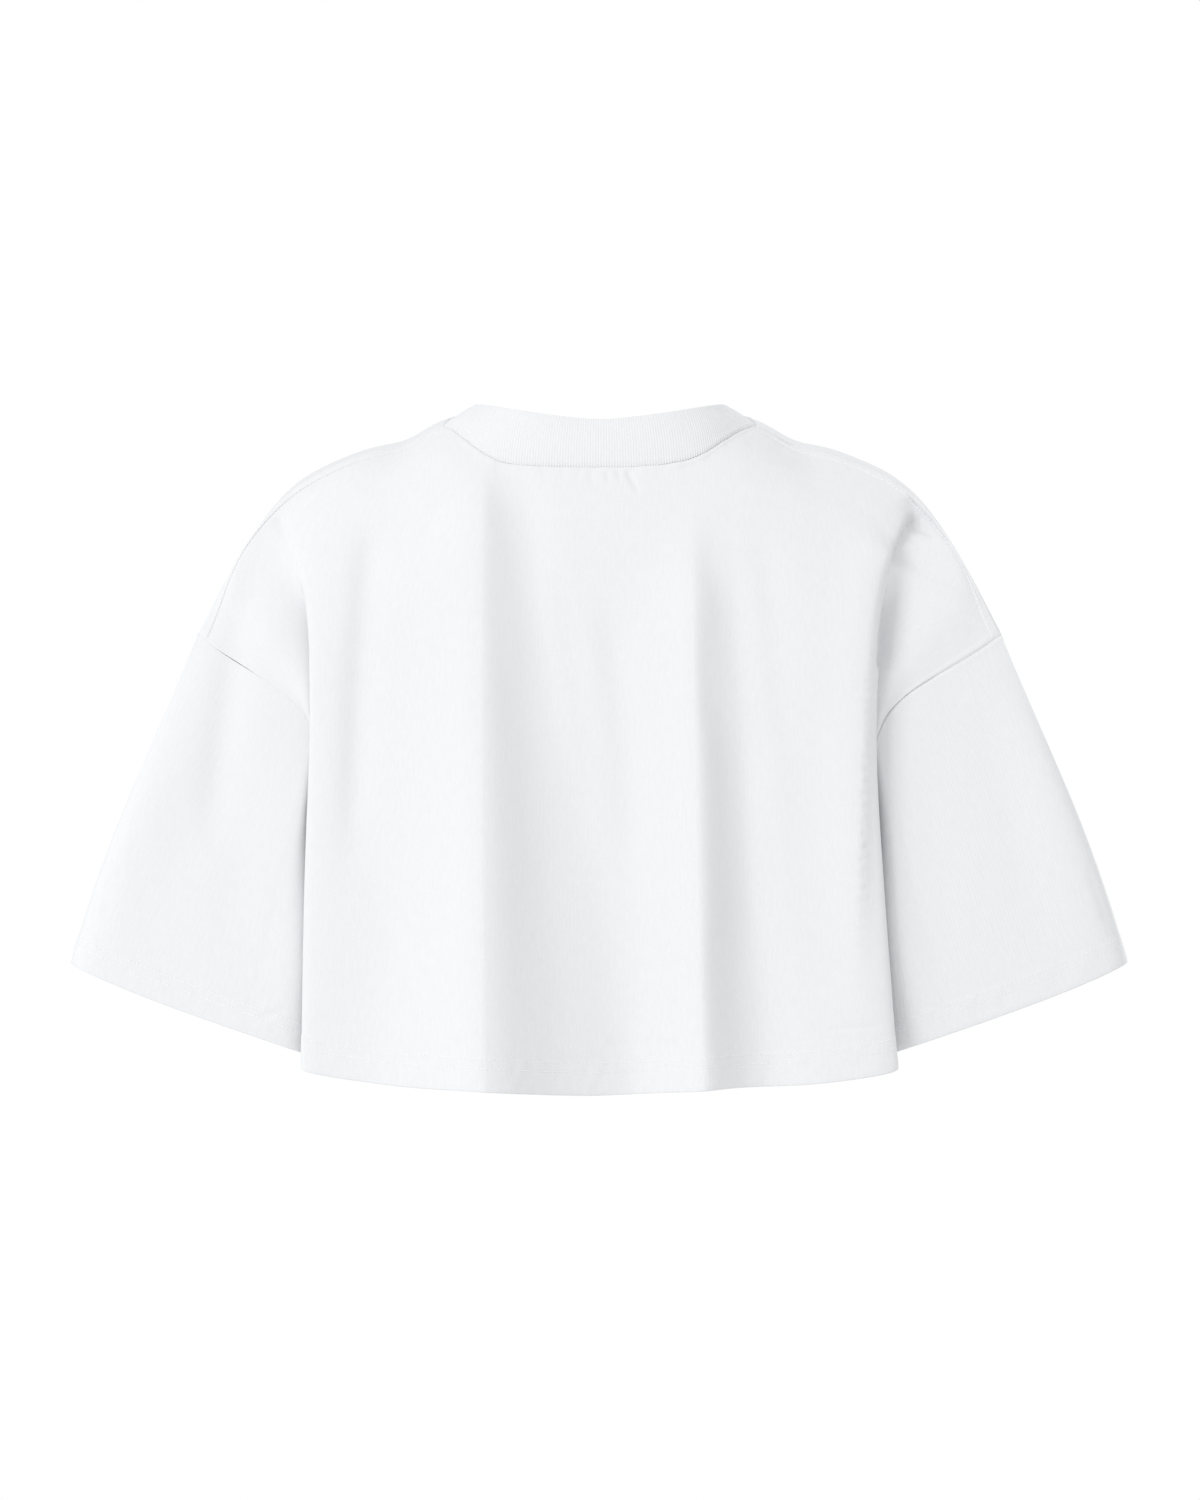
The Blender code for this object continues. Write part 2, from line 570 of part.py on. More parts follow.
def neck_index():
    """The panel and column that each point of the band's first ring lies on."""
    first = SHOULDER_CELLS
    last = SHOULDER_CELLS + 2 * NECK_CELLS
    behind = [("back", j) for j in range(first, last + 1)]
    return behind + [("front", j) for j in range(last - 1, first, -1)]


main()
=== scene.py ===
"""Looks of the oversized cropped T-shirt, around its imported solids.

Every cut piece gets a fine cloth shell on its solid's form: back, front, two sleeves and the rib
neckband. The shells carry the long folds, the creases and puckers at the seams, the turned hems and
the ribs, and rows of thread lie on them. The wearer faces -Y and +X is the wearer's left.
Lengths are millimetres unless a comment says metres.
"""

from collections import namedtuple
from math import cos, exp, pi, radians, sin

import bpy
import numpy as np
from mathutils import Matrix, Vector


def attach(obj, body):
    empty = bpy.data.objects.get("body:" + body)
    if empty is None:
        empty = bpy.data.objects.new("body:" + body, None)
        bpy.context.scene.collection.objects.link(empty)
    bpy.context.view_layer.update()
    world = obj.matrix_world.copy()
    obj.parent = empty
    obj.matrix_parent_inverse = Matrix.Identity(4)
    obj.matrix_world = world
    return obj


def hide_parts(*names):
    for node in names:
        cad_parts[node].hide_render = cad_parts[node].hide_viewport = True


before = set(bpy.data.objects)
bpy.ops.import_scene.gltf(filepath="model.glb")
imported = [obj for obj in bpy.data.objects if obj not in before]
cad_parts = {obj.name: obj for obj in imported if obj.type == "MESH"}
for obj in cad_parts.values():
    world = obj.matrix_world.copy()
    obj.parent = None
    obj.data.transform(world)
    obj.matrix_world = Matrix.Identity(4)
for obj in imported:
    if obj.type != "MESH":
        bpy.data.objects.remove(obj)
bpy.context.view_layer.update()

MM = 0.001  # in metres

# ---- cloth and sewing ----
JERSEY = 1.1  # thickness
RIB = 2.4  # thickness of the folded band
HEM_ROWS = (15.5, 22.0)  # the hem's rows of stitches, up from its edge
CUFF_ROWS = (13.4, 19.0)
SHOULDER_ROW = 7.2  # the row of stitches on the back, down from the seam
GROOVE = 0.05  # how deep a row of stitches pulls the cloth
GROOVE_WIDTH = 0.85
STITCH_PITCH = 3.1  # one stitch and its gap
STITCH_LENGTH = 2.5
STITCH_SHAPE = ((-0.5, 0.15), (-0.28, 1.0), (0.28, 1.0), (0.5, 0.15))  # place along it, share of its size
STITCH_ARCH = (0.30, 0.12)  # how far its middle rises and all of it is sunk, as shares of the thread
THREAD = 0.42  # thickness of the thread as it lies
THREAD_SIDES = 5
THREAD_SHAPE = (0.62, 0.5)  # its half width and half height, as shares of that

# ---- the seams ----
SEAM_DIP = 0.6  # how deep the two edges of a seam turn in
SEAM_DIP_WIDTH = 0.8
BAND_DIP_WIDTH = 1.3
ARM_SEAM_DIP = {1: 0.04, -1: 0.6}  # left and right; the left armhole's seam lies flat
NECK_SEAM_DIP = (0.06, 0.2)  # the neck seam's share of SEAM_DIP, and what its loose part adds
PANEL_LOOSE = (-0.23, -0.1)  # the panels' neck seam is loose right of these columns
BAND_LOOSE = (-0.55, -0.25)  # the same as places round the band
NECK_BLEND = 0.012  # how far the neck and shoulder seams pass into each other
PANEL_ROLL = (0.15, 0.4)  # height of the roll beside the neck seam, and what its loose part adds
BAND_ROLL = (0.2, 0.1)
ARM_ROLL = 0.45  # the same beside the armhole seam
ARM_ROLL_FADE = (2, 10)  # it comes in between these distances from the shoulder seam
SIDE_ROLL_SHARE = 0.3  # share of it beside the side seam
SLEEVE_ROLL_SHARE = 0.2  # the sleeve's roll, as a share of its seam's dip
GATHERS = 120  # places across a panel where the seam pulls more or less
GATHER_HEIGHT = 0.32
SHOULDER_GATHERS = 0.1
ALLOWANCE = 0.62  # how far the shoulder's turned seam allowance lifts the cloth
ALLOWANCE_START = (0.4, 1.6)  # it begins between these distances from the seam
ALLOWANCE_END = (6.2, 8.2)
ALLOWANCE_FADE = 6

# ---- the turned hems ----
HEM_PUFF = 0.35  # how far the turned edge puffs out
HEM_STEP = (-1, 3)  # it ends between these distances from its upper row
HEM_EDGE = 3  # it rounds off this close to the folded edge
PUCKER_PITCH = 6.5
PUCKER_LEAN = 14  # height over which a pucker leans by its own width
PUCKER_HEIGHTS = (0.17, 0.08, 0.1)  # coarse ones, fine ones, and those above the upper row
FINE_PUCKERS = 2.7  # how many fine ones to a coarse one
PUCKER_EDGE = (0.5, 4)  # they come in between these distances from the edge

# ---- the cut, as in the solids ----
BACK_NECK_DROP = 30.0  # origin down to the neck seam at centre back
FRONT_NECK_DROP = 82.0
BACK_NECK_POWER = {1: 4.4, -1: 3.0}  # left and right; a higher one makes the seam flatter
FRONT_NECK_POWER = {1: 3.0, -1: 3.0}
BAND_SIDE_HALF = 86.5  # half width of the band's top edge
BAND_SIDE_RISE = 17.6  # the top edge above the origin
BAND_BACK_RISE = 4.2
BAND_FRONT_RISE = -54.0
BAND_SIDE_DEPTH = 4.0  # the top edge behind the origin
BAND_BACK_DEPTH = 54.0
BAND_FRONT_DEPTH = -78.0
BAND_BACK_DIP = 1.5  # power of the top edge's fall from the sides to the middle
BAND_FRONT_DIP = 2.6
BAND_BULGE = 2.0  # how far the band rounds outwards at mid height
BAND_SPREAD = 0.27  # how much faster the top edge widens near the middle
BAND_ROUND = 3.2  # roundness of the top edge seen from above; 2 is an ellipse
NECK_MIDDLE = (0.0, -10.0, 0.0)  # the point that the band rounds out from

CUFF_CENTRE = (277.0, 0.0, -403.2)
CUFF_HALF_WIDTH = 92.0
CUFF_HALF_DEPTH = 58.0
CUFF_TILT = radians(20.8)  # outer end up
CUFF_SQUARENESS = 7.0  # 2 is an ellipse; higher is squarer
CUFF_TAPER = 0.08  # how much shallower the cuff is at its outer end, as a share
CUFF_BACKSET = {1: 11.0, -1: 2.0}  # how far each cuff hangs back
CUFF_LEAN = 4.0  # how far the cuff's back leans outwards and its front inwards
CUFF_DROOP = 4.5  # how much lower it hangs between its two ends
DROOP_SHARES = (0.6, 0.4)  # the droop at the middle, and what the outer side adds to it
CUFF_SAMPLES = 721
SLEEVE_SEAM_ANGLE = radians(28.0)  # where the shoulder seam's line meets the cuff, from its outer end
SLEEVE_SWELL = 5.5  # how far the sleeve rounds out between armhole and cuff
SWELL_LOWNESS = 1.5  # above 1, it is roundest nearer its cuff
SWELL_RANGE = (-1.0, 0.2)  # it comes in between these places across; the inner end is -1
SWELL_OUT = 0.8  # its share along the cuff's line
SWELL_DEEP = 0.3  # its share to the back and front
CORNER_RANGE = (0.4, 0.95)  # a corner comes in between these shares of the half widths
INNER_RANGE = (0, 0.5)  # and counts as beside the body between these
INNER_FILL = {1: 11.0, -1: 12.0}  # how far the corners beside the body are filled out
OUTER_FILL = {1: 4.0, -1: 5.0}
FRONT_FILL = 0.2  # the front's share of these fills
FILL_INWARDS = 0.05  # the inner fill's share towards the body
FILL_LOWNESS = 1.1  # above 1, the fill is greatest nearer the cuff

SIDE_EASE = 0.024  # at mid height the left side hangs this share wider and the right narrower
UNDERARM_FALL = 0.425  # where the armhole seam meets the side seam
NECK_AT = 0.42  # the column at the high shoulder point
BLADE_SHARE = 0.6  # the blade column's x, as a share of the neck column's
NECK_HOLLOW = 5.3  # how far the shoulder line dips beside the neck
HOLLOW_AT = 0.485  # the column where it dips most
HOLLOW_WIDTH = 0.045
HOLLOW_ENDS = 0.12  # the dip is gone this far down the panel
FOLD_FADE = (0.50, 0.66)  # folds fade out between these columns, before the body's edge
SEAM_STRAIGHTENS = 0.78  # from this column on, the cloth is drawn to the side seam

# Each row is a Section, one cross section of half a panel seen from above: x is out and y is back.
# "fall" tells how low it lies, as a share of the way from the shoulder ridge to the hem. The columns are
# those of COLUMNS. On the wearer's left the cloth lies further back beside the arm, by left_rise and
# left_arm_rise times each column's share.
Section = namedtuple(
    "Section",
    "fall centre_y blade_y neck_x neck_y flank_x flank_y edge_x edge_y crease_x crease_y"
    " arm_x arm_y end_x end_y left_rise left_arm_rise")
LEFT_RISE_SHARES = (0, 0, 0, 0, 0.4, 1, 0, 0)
LEFT_ARM_SHARES = (0, 0, 0, 0, 0, 0, 1, 1)

BACK_SECTIONS = (
    (0.012, 44, 40, 109, 20, 149, 27, 188, 37, 220, 45, 249.0, 51.5, 276.5, 52.5, 0, 0),
    (0.075, 61, 59, 113, 53, 157, 52, 195, 53, 224, 52, 249, 56.5, 249, 57, 0, 1),
    (0.150, 71, 70, 118, 67, 165, 65, 200, 62, 214, 56, 229, 60, 214, 59, 3, 3),
    (0.230, 76, 76, 124, 75, 169, 73, 198, 67, 191, 57, 203, 62, 195, 60, 7, 6),
    (0.310, 78, 78, 128, 78, 171, 77, 195, 70, 182, 56, 187, 59, 190, 54, 8, 7),
    (0.425, 79, 79, 130, 79, 171, 78, 193.5, 71, 180, 49, 179, 21, 185, 0, 8, 2),
    (0.650, 79, 79, 134, 79, 175, 79, 197, 72, 182, 47, 177, 18, 177, 0, 6, 2),
    (1.000, 79, 79, 140, 79, 184, 79, 204, 73, 190, 47, 184, 18, 182, 0, 4, 0),
)
FRONT_SECTIONS = (
    (0.012, 12, 18, 109, 20, 149, 27, 188, 37, 220, 45, 249.0, 51.5, 276.5, 52.5, 0, 0),
    (0.000, -8, -6, 109.5, -2, 150, 0, 189, 0, 222, 0, 250, 0, 276.0, 0, 0, 0),
    (0.032, -44, -40, 111, -26, 152, -27, 192, -34, 224, -42, 252, -48, 267, -49, 0, 0),
    (0.115, -74, -71, 117, -60, 161, -57, 198, -54, 216, -51, 240, -54, 238, -54, 0, 0),
    (0.215, -90, -89, 124, -80, 168, -75, 194, -64, 190, -46, 210, -55, 197, -55, 0, 0),
    (0.305, -97, -96, 129, -89, 170, -82, 190, -68, 182, -45, 185.5, -51, 190, -47, 0, 0),
    (0.425, -101, -101, 132, -95, 171, -86, 189, -70, 179, -43, 179, -20, 185, 0, 0, 0),
    (0.650, -100, -101, 135, -96, 174, -87, 194, -72, 182, -43, 177, -18, 177, 0, 0, 0),
    (1.000, -98, -99, 140, -96, 181, -88, 202, -74, 190, -44, 184, -18, 182, 0, 0, 0),
)
Column = namedtuple("Column", "name at ridge_z back_hem_z front_hem_z")
COLUMNS = [Column(*row) for row in (
    ("centre", 0.00, 7.5, -459.5, -449.0),
    ("blade", 0.25, 7.5, -454.0, -447.5),
    ("neck", 0.42, 7.5, -452.0, -445.0),
    ("flank", 0.52, -8.0, -446.5, -442.5),
    ("edge", 0.62, -24.3, -441.5, -440.0),
    ("crease", 0.74, -47.0, -439.5, -438.5),
    ("arm", 0.875, -88.0, -438.0, -438.0),
    ("end", 1.00, -141.0, -438.0, -438.0),
)]

# ---- the long folds ----
# Each row is a Fold. Its crest runs through top_x, mid_x and hem_x. A long flank rises to it from +X and
# a steep one falls towards -X, where the cloth dips below its own level and comes back. The flanks' reach
# and the height grow from top to hem, and the fold comes in between the falls "starts" and "full".
Fold = namedtuple(
    "Fold",
    "starts full top_x mid_x hem_x long_top long_hem steep_top steep_hem height_top height_hem")
BACK_FOLDS = (
    (0.05, 0.16, 80, 79.5, 77.5, 60, 95, 24, 142, 3, 35),
    (0.12, 0.32, -61, -66, -71, 46, 55, 28, 64, 4, 23),
)
FRONT_FOLDS = (
    (0.10, 0.30, 66, 70, 76, 50, 80, 30, 90, 3, 14),
    (0.14, 0.40, -84, -88, -92, 50, 70, 40, 70, 3, 11),
)
# The flanks' outlines: share of the reach, share of the height.
LONG_FLANK = ((0, 1), (0.05, 0.98), (0.3, 0.66), (0.6, 0.27), (0.85, 0.05), (1, 0), (1.4, 0), (3, 0))
STEEP_FLANK = ((0, 1), (0.05, 0.94), (0.22, 0.52), (0.38, 0.12), (0.55, -0.13), (0.72, -0.24),
               (0.86, -0.20), (1.1, -0.05), (1.3, 0), (3, 0))
FLANK_END = 3  # the outlines are flat from well before here

# ---- the small creases ----
# Each row is a Crease, on a smooth line through three places, given by x and z. It reaches "right" and
# "left" of the way from the first to the last, as seen from outside the back. "height" is its lift at the
# line, below 0 for a trough. It fades over the share "ends" of its length at both ends. A power of 2 makes
# it round and 1 makes it sharp.
CREASE_STEPS = 60
CREASE_REACH = 3.2  # a crease is followed this many times its greater width
CREASE_TURNS = (0.1, 0.6)  # on a sleeve it fades as the cloth turns sideways
SEAM_HOLDS = 4  # creases fade over this distance to a panel's top seams
Crease = namedtuple("Crease", "x0 z0 x1 z1 x2 z2 right left height ends power", defaults=(0.3, 2))
LEFT_ARM_DIP = (238, -84, 256, -190, 268, -310, 14, 12, -3.0, 0.25, 2)
BACK_CREASES = (
    # soft dip down the wearer's left side, and the two shallow lines beside the longest fold
    (155, -60, 163, -156, 170, -330, 14, 10, -3.8, 0.25, 2),
    (40, -80, 30, -150, 10, -270, 9, 9, 1.3),
    (-2, -100, -16, -217, -26, -330, 12, 12, -2.3),
    (-68, -92, -78, -150, -84, -225, 10, 8, 1.1, 0.35, 2),
    (70, -46, 64, -110, 52, -200, 12, 9, 0.8),
    (-104, -60, -118, -135, -124, -250, 14, 11, -1.5),
    (-75, -180, -75, -270, -77, -370, 10, 10, 1.1),
    (-97, -190, -99, -280, -101, -400, 10, 10, -1.3),
    # the swell beside the fold over the right arm
    (-203, -80, -183, -150, -176, -400, 6, 21, 4.2, 0.2, 2),
    # the dip that runs down to the left sleeve's hem, over the armhole seam
    LEFT_ARM_DIP,
    # drag lines from the neck towards the shoulders
    (-97, -12, -113, -14, -136, -22, 3.5, 3.0, -0.9),
    (-93, -32, -127, -36, -164, -42, 5, 7, -0.9),
    (103, -26, 134, -37, 172, -47, 7, 5, -0.7),
    (92, -40, 112, -62, 122, -92, 6, 7, -0.6),
    # the pinch over the wearer's right arm, lines that run out from it, and the edge that folds over it
    (-213, -44, -222, -60, -225, -84, 9, 11, -4.2, 0.35, 2),
    (-211, -66, -222, -62, -233, -60, 2.2, 2.2, -0.8),
    (-212, -69, -222, -71, -231, -76, 2.2, 2.2, -0.8),
    (-210, -73, -217, -79, -223, -88, 2.2, 2.2, -0.6),
    (-216, -58, -196, -108, -189, -172, 14, 1.2, -2.6, 0.08, 1),
    (-219, -55, -209, -76, -199, -98, 26, 1.5, -5.2, 0.2, 1),
    # the softer one over the left arm
    (223, -62, 219, -70, 214, -84, 4, 5, -1.6, 0.4, 2),
    (217, -72, 203, -112, 198, -172, 1.5, 10, -0.5, 0.2, 1),
    # short puckers under the neck seam, and one longer and slanted
    (-18, -30, -22, -40, -28, -49, 1.7, 1.7, -1.1, 0.25, 2),
    (-4, -30, -5, -36, -6, -42, 1.6, 1.6, -0.7),
    (-12, -30, -13, -35, -14, -40, 1.5, 1.5, -0.7),
    (6, -30, 6, -36, 5, -43, 1.6, 1.6, -0.6),
    # lines above the hem
    (-150, -415, -174, -413, -199, -412, 2.2, 2.2, -0.6),
    (-60, -425, -30, -424, 2, -427, 3, 3, -0.35),
    (196, -404, 180, -410, 158, -412, 3, 3, -0.6),
    (150, -330, 135, -372, 108, -412, 9, 9, -0.7),
    (-150, -300, -158, -350, -160, -400, 12, 12, -0.6),
    (-130, -160, -142, -280, -148, -450, 24, 26, -2.2),
)
FRONT_CREASES = (
    (152, -90, 162, -180, 168, -340, 11, 14, -1.7, 0.25, 2),
    (-146, -80, -158, -170, -164, -320, 13, 10, -1.5, 0.25, 2),
    (20, -110, 12, -200, 2, -330, 10, 12, -1.2),
    (-40, -120, -34, -210, -24, -330, 9, 12, -0.8),
    (96, -34, 124, -48, 160, -60, 6, 6, -0.8),
    (-96, -34, -126, -50, -166, -66, 6, 6, -0.9),
    (222, -66, 216, -76, 210, -92, 4, 5, -2.2, 0.4, 2),
    (-222, -66, -216, -76, -210, -92, 5, 4, -2.4, 0.4, 2),
    (160, -404, 178, -408, 196, -407, 3, 3, -0.6),
)
# On a sleeve's back face, and on its front face.
SLEEVE_CREASES = {
    1: ((LEFT_ARM_DIP,
         (236, -205, 246, -290, 254, -390, 16, 16, -1.0),
         (213, -398, 222, -404, 236, -407, 2.4, 2.4, -0.5),
         (330, -300, 338, -330, 346, -352, 6, 6, -0.5)),
        ((240, -150, 262, -240, 282, -350, 14, 12, -1.8),
         (214, -240, 224, -320, 236, -400, 12, 12, -1.2),
         (300, -230, 318, -290, 332, -350, 10, 10, -0.9))),
    -1: (((-333, -300, -343, -326, -352, -352, 3.5, 3.5, -0.7),
          (-262, -170, -284, -260, -300, -372, 18, 16, -0.9),
          (-226, -214, -232, -300, -238, -392, 13, 15, -0.7),
          (-212, -170, -232, -182, -258, -190, 5, 6, -0.5)),
         ((-244, -150, -264, -240, -280, -350, 12, 14, -1.8),
          (-216, -236, -226, -320, -240, -400, 12, 12, -1.3),
          (-306, -240, -320, -300, -336, -356, 10, 10, -0.8))),
}
# Slow unevenness of the cloth: size across, size down, height, seed.
RIPPLES = ((34, 95, 0.42, 11), (15, 38, 0.13, 12), (6.5, 12, 0.035, 13))
RIPPLE_FADE = 12  # it fades over this distance to a panel's ends
SLEEVE_RIPPLE_FADE = 6
NOISE_CELLS = 64  # the noise repeats after this many cells
BACK_SEED = 20  # seeds of the puckers and gathers
FRONT_SEED = 40
CUFF_SEED = 30

# ---- how finely the nets are divided ----
NECK_CELLS = 76  # centre to high shoulder point
SHOULDER_CELLS = 94  # high shoulder point to the panel's end
ARMHOLE_ROWS = 110
SIDE_ROWS = 120
SLEEVE_ROWS = 150
FINE_SAMPLES = 2000  # places at which a smooth course is read before it is turned round
CROWD_FADE = 1.8  # a zone's crowding ends at this many times its width
RIB_PITCH = 1.7
RIB_POINTS = 4  # points across one rib and its gap
RIB_DEPTH = 0.28
RIB_SEAM_DEPTH = 1.4  # how much deeper the gaps are at the seam, as a share
RIB_SEAM_REACH = 2.6
RIB_FOLD_SHARE = 0.7  # share of their depth on the fold
BAND_OUTER_ROWS = 18
BAND_CROWDING = 1.25  # above 1, the outer rows crowd towards the seam
BAND_TOP_ROWS = 5
BAND_INNER_ROWS = 7
FOLD_ROUNDING = 0.45  # how far a folded edge stands past its faces, as a share of the jersey
CLOTH_MAP_SCALE = 0.01  # the cloth's UV map is in tenths of a metre
WAVE_SCALE = 31.4  # on that map, a wave texture of this Scale has its bands 1 mm apart


# ---- curves ----

def spline(knots, values, at):
    """Natural cubic spline through values (one row a knot), read at the places in at."""
    knots = np.asarray(knots, float)
    values = np.asarray(values, float)
    if values.ndim == 1:
        return spline(knots, values[:, None], at)[:, 0]
    count = len(knots)
    step = np.diff(knots)
    slope = np.diff(values, axis=0) / step[:, None]
    matrix = np.eye(count)
    right = np.zeros_like(values)
    for i in range(1, count - 1):
        matrix[i, i - 1] = step[i - 1]
        matrix[i, i] = 2 * (step[i - 1] + step[i])
        matrix[i, i + 1] = step[i]
        right[i] = 6 * (slope[i] - slope[i - 1])
    bend = np.linalg.solve(matrix, right)
    at = np.atleast_1d(np.asarray(at, float))
    k = np.clip(np.searchsorted(knots, at) - 1, 0, count - 2)
    a = (knots[k + 1] - at)[:, None]
    b = (at - knots[k])[:, None]
    h = step[k][:, None]
    return (bend[k] * a ** 3 + bend[k + 1] * b ** 3) / (6 * h) \
        + (values[k] / h - bend[k] * h / 6) * a + (values[k + 1] / h - bend[k + 1] * h / 6) * b


def smooth_step(low, high, value):
    share = np.clip((value - low) / (high - low), 0.0, 1.0)
    return share * share * (3 - 2 * share)


def hump(value, middle, width):
    return np.exp(-((value - middle) / width) ** 2)


def unit(vectors):
    length = np.linalg.norm(vectors, axis=-1, keepdims=True)
    return vectors / np.maximum(length, 1e-9)


def run_along(points, axis=0):
    """Distance from the first point of each line of a net, along the given axis."""
    steps = np.linalg.norm(np.diff(points, axis=axis), axis=-1)
    start = np.zeros_like(np.take(steps, [0], axis=axis))
    return np.concatenate([start, np.cumsum(steps, axis=axis)], axis=axis)


def length_shares(points):
    run = run_along(points)
    return run / run[-1]


def crowded(count, fine_start, fine_end, zone):
    """count + 1 places from 0 to 1, closer together within a zone at the start and at the end."""
    at = np.linspace(0, 1, FINE_SAMPLES)
    density = 1 + fine_start * (1 - smooth_step(zone, CROWD_FADE * zone, at)) \
        + fine_end * (1 - smooth_step(zone, CROWD_FADE * zone, 1 - at))
    run = np.concatenate([[0.0], np.cumsum((density[1:] + density[:-1]) / 2)])
    return np.interp(np.linspace(0, 1, count + 1), run / run[-1], at)


# ---- unevenness ----

def cell_and_share(place):
    low = np.floor(place).astype(int)
    return low, smooth_step(0, 1, place - low)


def noise(points, size, seed):
    """Smooth noise from -1 to 1 at points, over cells of the given size along x, y and z."""
    table = np.random.default_rng(seed).uniform(-1, 1, (NOISE_CELLS, NOISE_CELLS, NOISE_CELLS))
    low, part = cell_and_share(points / np.asarray(size, float))
    total = 0.0
    for corner in np.ndindex(2, 2, 2):
        share = np.prod(np.where(corner, part, 1 - part), axis=-1)
        x, y, z = ((low[..., k] + corner[k]) % NOISE_CELLS for k in range(3))
        total = total + share * table[x, y, z]
    return total


def wander(place, count, seed):
    """Smooth noise from -1 to 1 along a line, where places 0 and count are the same."""
    knots = np.random.default_rng(seed).uniform(-1, 1, count)
    low, part = cell_and_share(place)
    return knots[low % count] * (1 - part) + knots[(low + 1) % count] * part


def ripple(net):
    lift = 0.0
    for across, down, height, seed in RIPPLES:
        lift = lift + height * noise(net, (across, across, down), seed)
    return lift


def crease_lift(net, creases):
    """How far the creases lift a net, seen from outside with +X to the left."""
    lift = np.zeros(net.shape[:2])
    x, z = net[..., 0], net[..., 2]
    for crease in (Crease(*row) for row in creases):
        knots = np.array([(crease.x0, crease.z0), (crease.x1, crease.z1), (crease.x2, crease.z2)], float)
        path = spline((0.0, 0.5, 1.0), knots, np.linspace(0, 1, CREASE_STEPS + 1))
        way = unit(np.gradient(path, axis=0))
        reach = CREASE_REACH * max(crease.left, crease.right)
        near = (x > path[:, 0].min() - reach) & (x < path[:, 0].max() + reach) \
            & (z > path[:, 1].min() - reach) & (z < path[:, 1].max() + reach)
        off_x = x[near][:, None] - path[:, 0]
        off_z = z[near][:, None] - path[:, 1]
        far = off_x ** 2 + off_z ** 2
        closest = np.argmin(far, axis=1)
        pick = np.arange(len(closest))
        side = off_x[pick, closest] * way[closest, 1] - off_z[pick, closest] * way[closest, 0]
        width = np.where(side > 0, crease.right, crease.left)
        share = closest / CREASE_STEPS
        fade = smooth_step(0, crease.ends, share) * smooth_step(0, crease.ends, 1 - share)
        lift[near] += crease.height * fade * np.exp(-(np.sqrt(far[pick, closest]) / width) ** crease.power)
    return lift


# ---- the panels ----

def both_halves(half, sign=1):
    """Values over a panel's full width, from those from the centre outwards."""
    half = np.asarray(half, float)
    return np.concatenate([sign * half[:0:-1], half])


def section_values(section):
    """x and y of one cross section at each named column, over the full width."""
    x = np.array([0.0, BLADE_SHARE * section.neck_x, section.neck_x, section.flank_x, section.edge_x,
                  section.crease_x, section.arm_x, section.end_x])
    y = np.array([section.centre_y, section.blade_y, section.neck_y, section.flank_y, section.edge_y,
                  section.crease_y, section.arm_y, section.end_y], float)
    left = y + section.left_rise * np.array(LEFT_RISE_SHARES)
    left += section.left_arm_rise * np.array(LEFT_ARM_SHARES)
    return both_halves(x, -1), np.concatenate([y[:0:-1], left])


def fold_lift(folds, x, down):
    """How far the long folds lift the cloth at x, a share of the way down."""
    lift = np.zeros_like(x)
    for fold in (Fold(*row) for row in folds):
        path = np.polyfit((0.0, 0.5, 1.0), (fold.top_x, fold.mid_x, fold.hem_x), 2)
        off = x - np.polyval(path, down)
        long_reach = fold.long_top + (fold.long_hem - fold.long_top) * down
        steep_reach = fold.steep_top + (fold.steep_hem - fold.steep_top) * down
        height = fold.height_top + (fold.height_hem - fold.height_top) * down
        share = np.clip(np.where(off > 0, off / long_reach, -off / steep_reach), 0, FLANK_END)
        flank = np.where(off > 0, spline(*zip(*LONG_FLANK), share), spline(*zip(*STEEP_FLANK), share))
        lift += height * flank * smooth_step(fold.starts, fold.full, down)
    return lift


def panel_column_places():
    neck = np.linspace(0.0, NECK_AT, NECK_CELLS + 1)
    shoulder = crowded(SHOULDER_CELLS, fine_start=0, fine_end=1.8, zone=0.025)[1:]
    shoulder = NECK_AT + (1.0 - NECK_AT) * shoulder
    return both_halves(np.concatenate([neck, shoulder]), -1)


def arc_places(sections):
    """Each section's place along the panel, 0 at the top and 1 at the hem, by the cloth's length."""
    neck = COLUMNS[2]
    points = np.array([[section.neck_x, section.neck_y,
                        neck.ridge_z + (neck.back_hem_z - neck.ridge_z) * section.fall]
                       for section in sections])
    return length_shares(points)


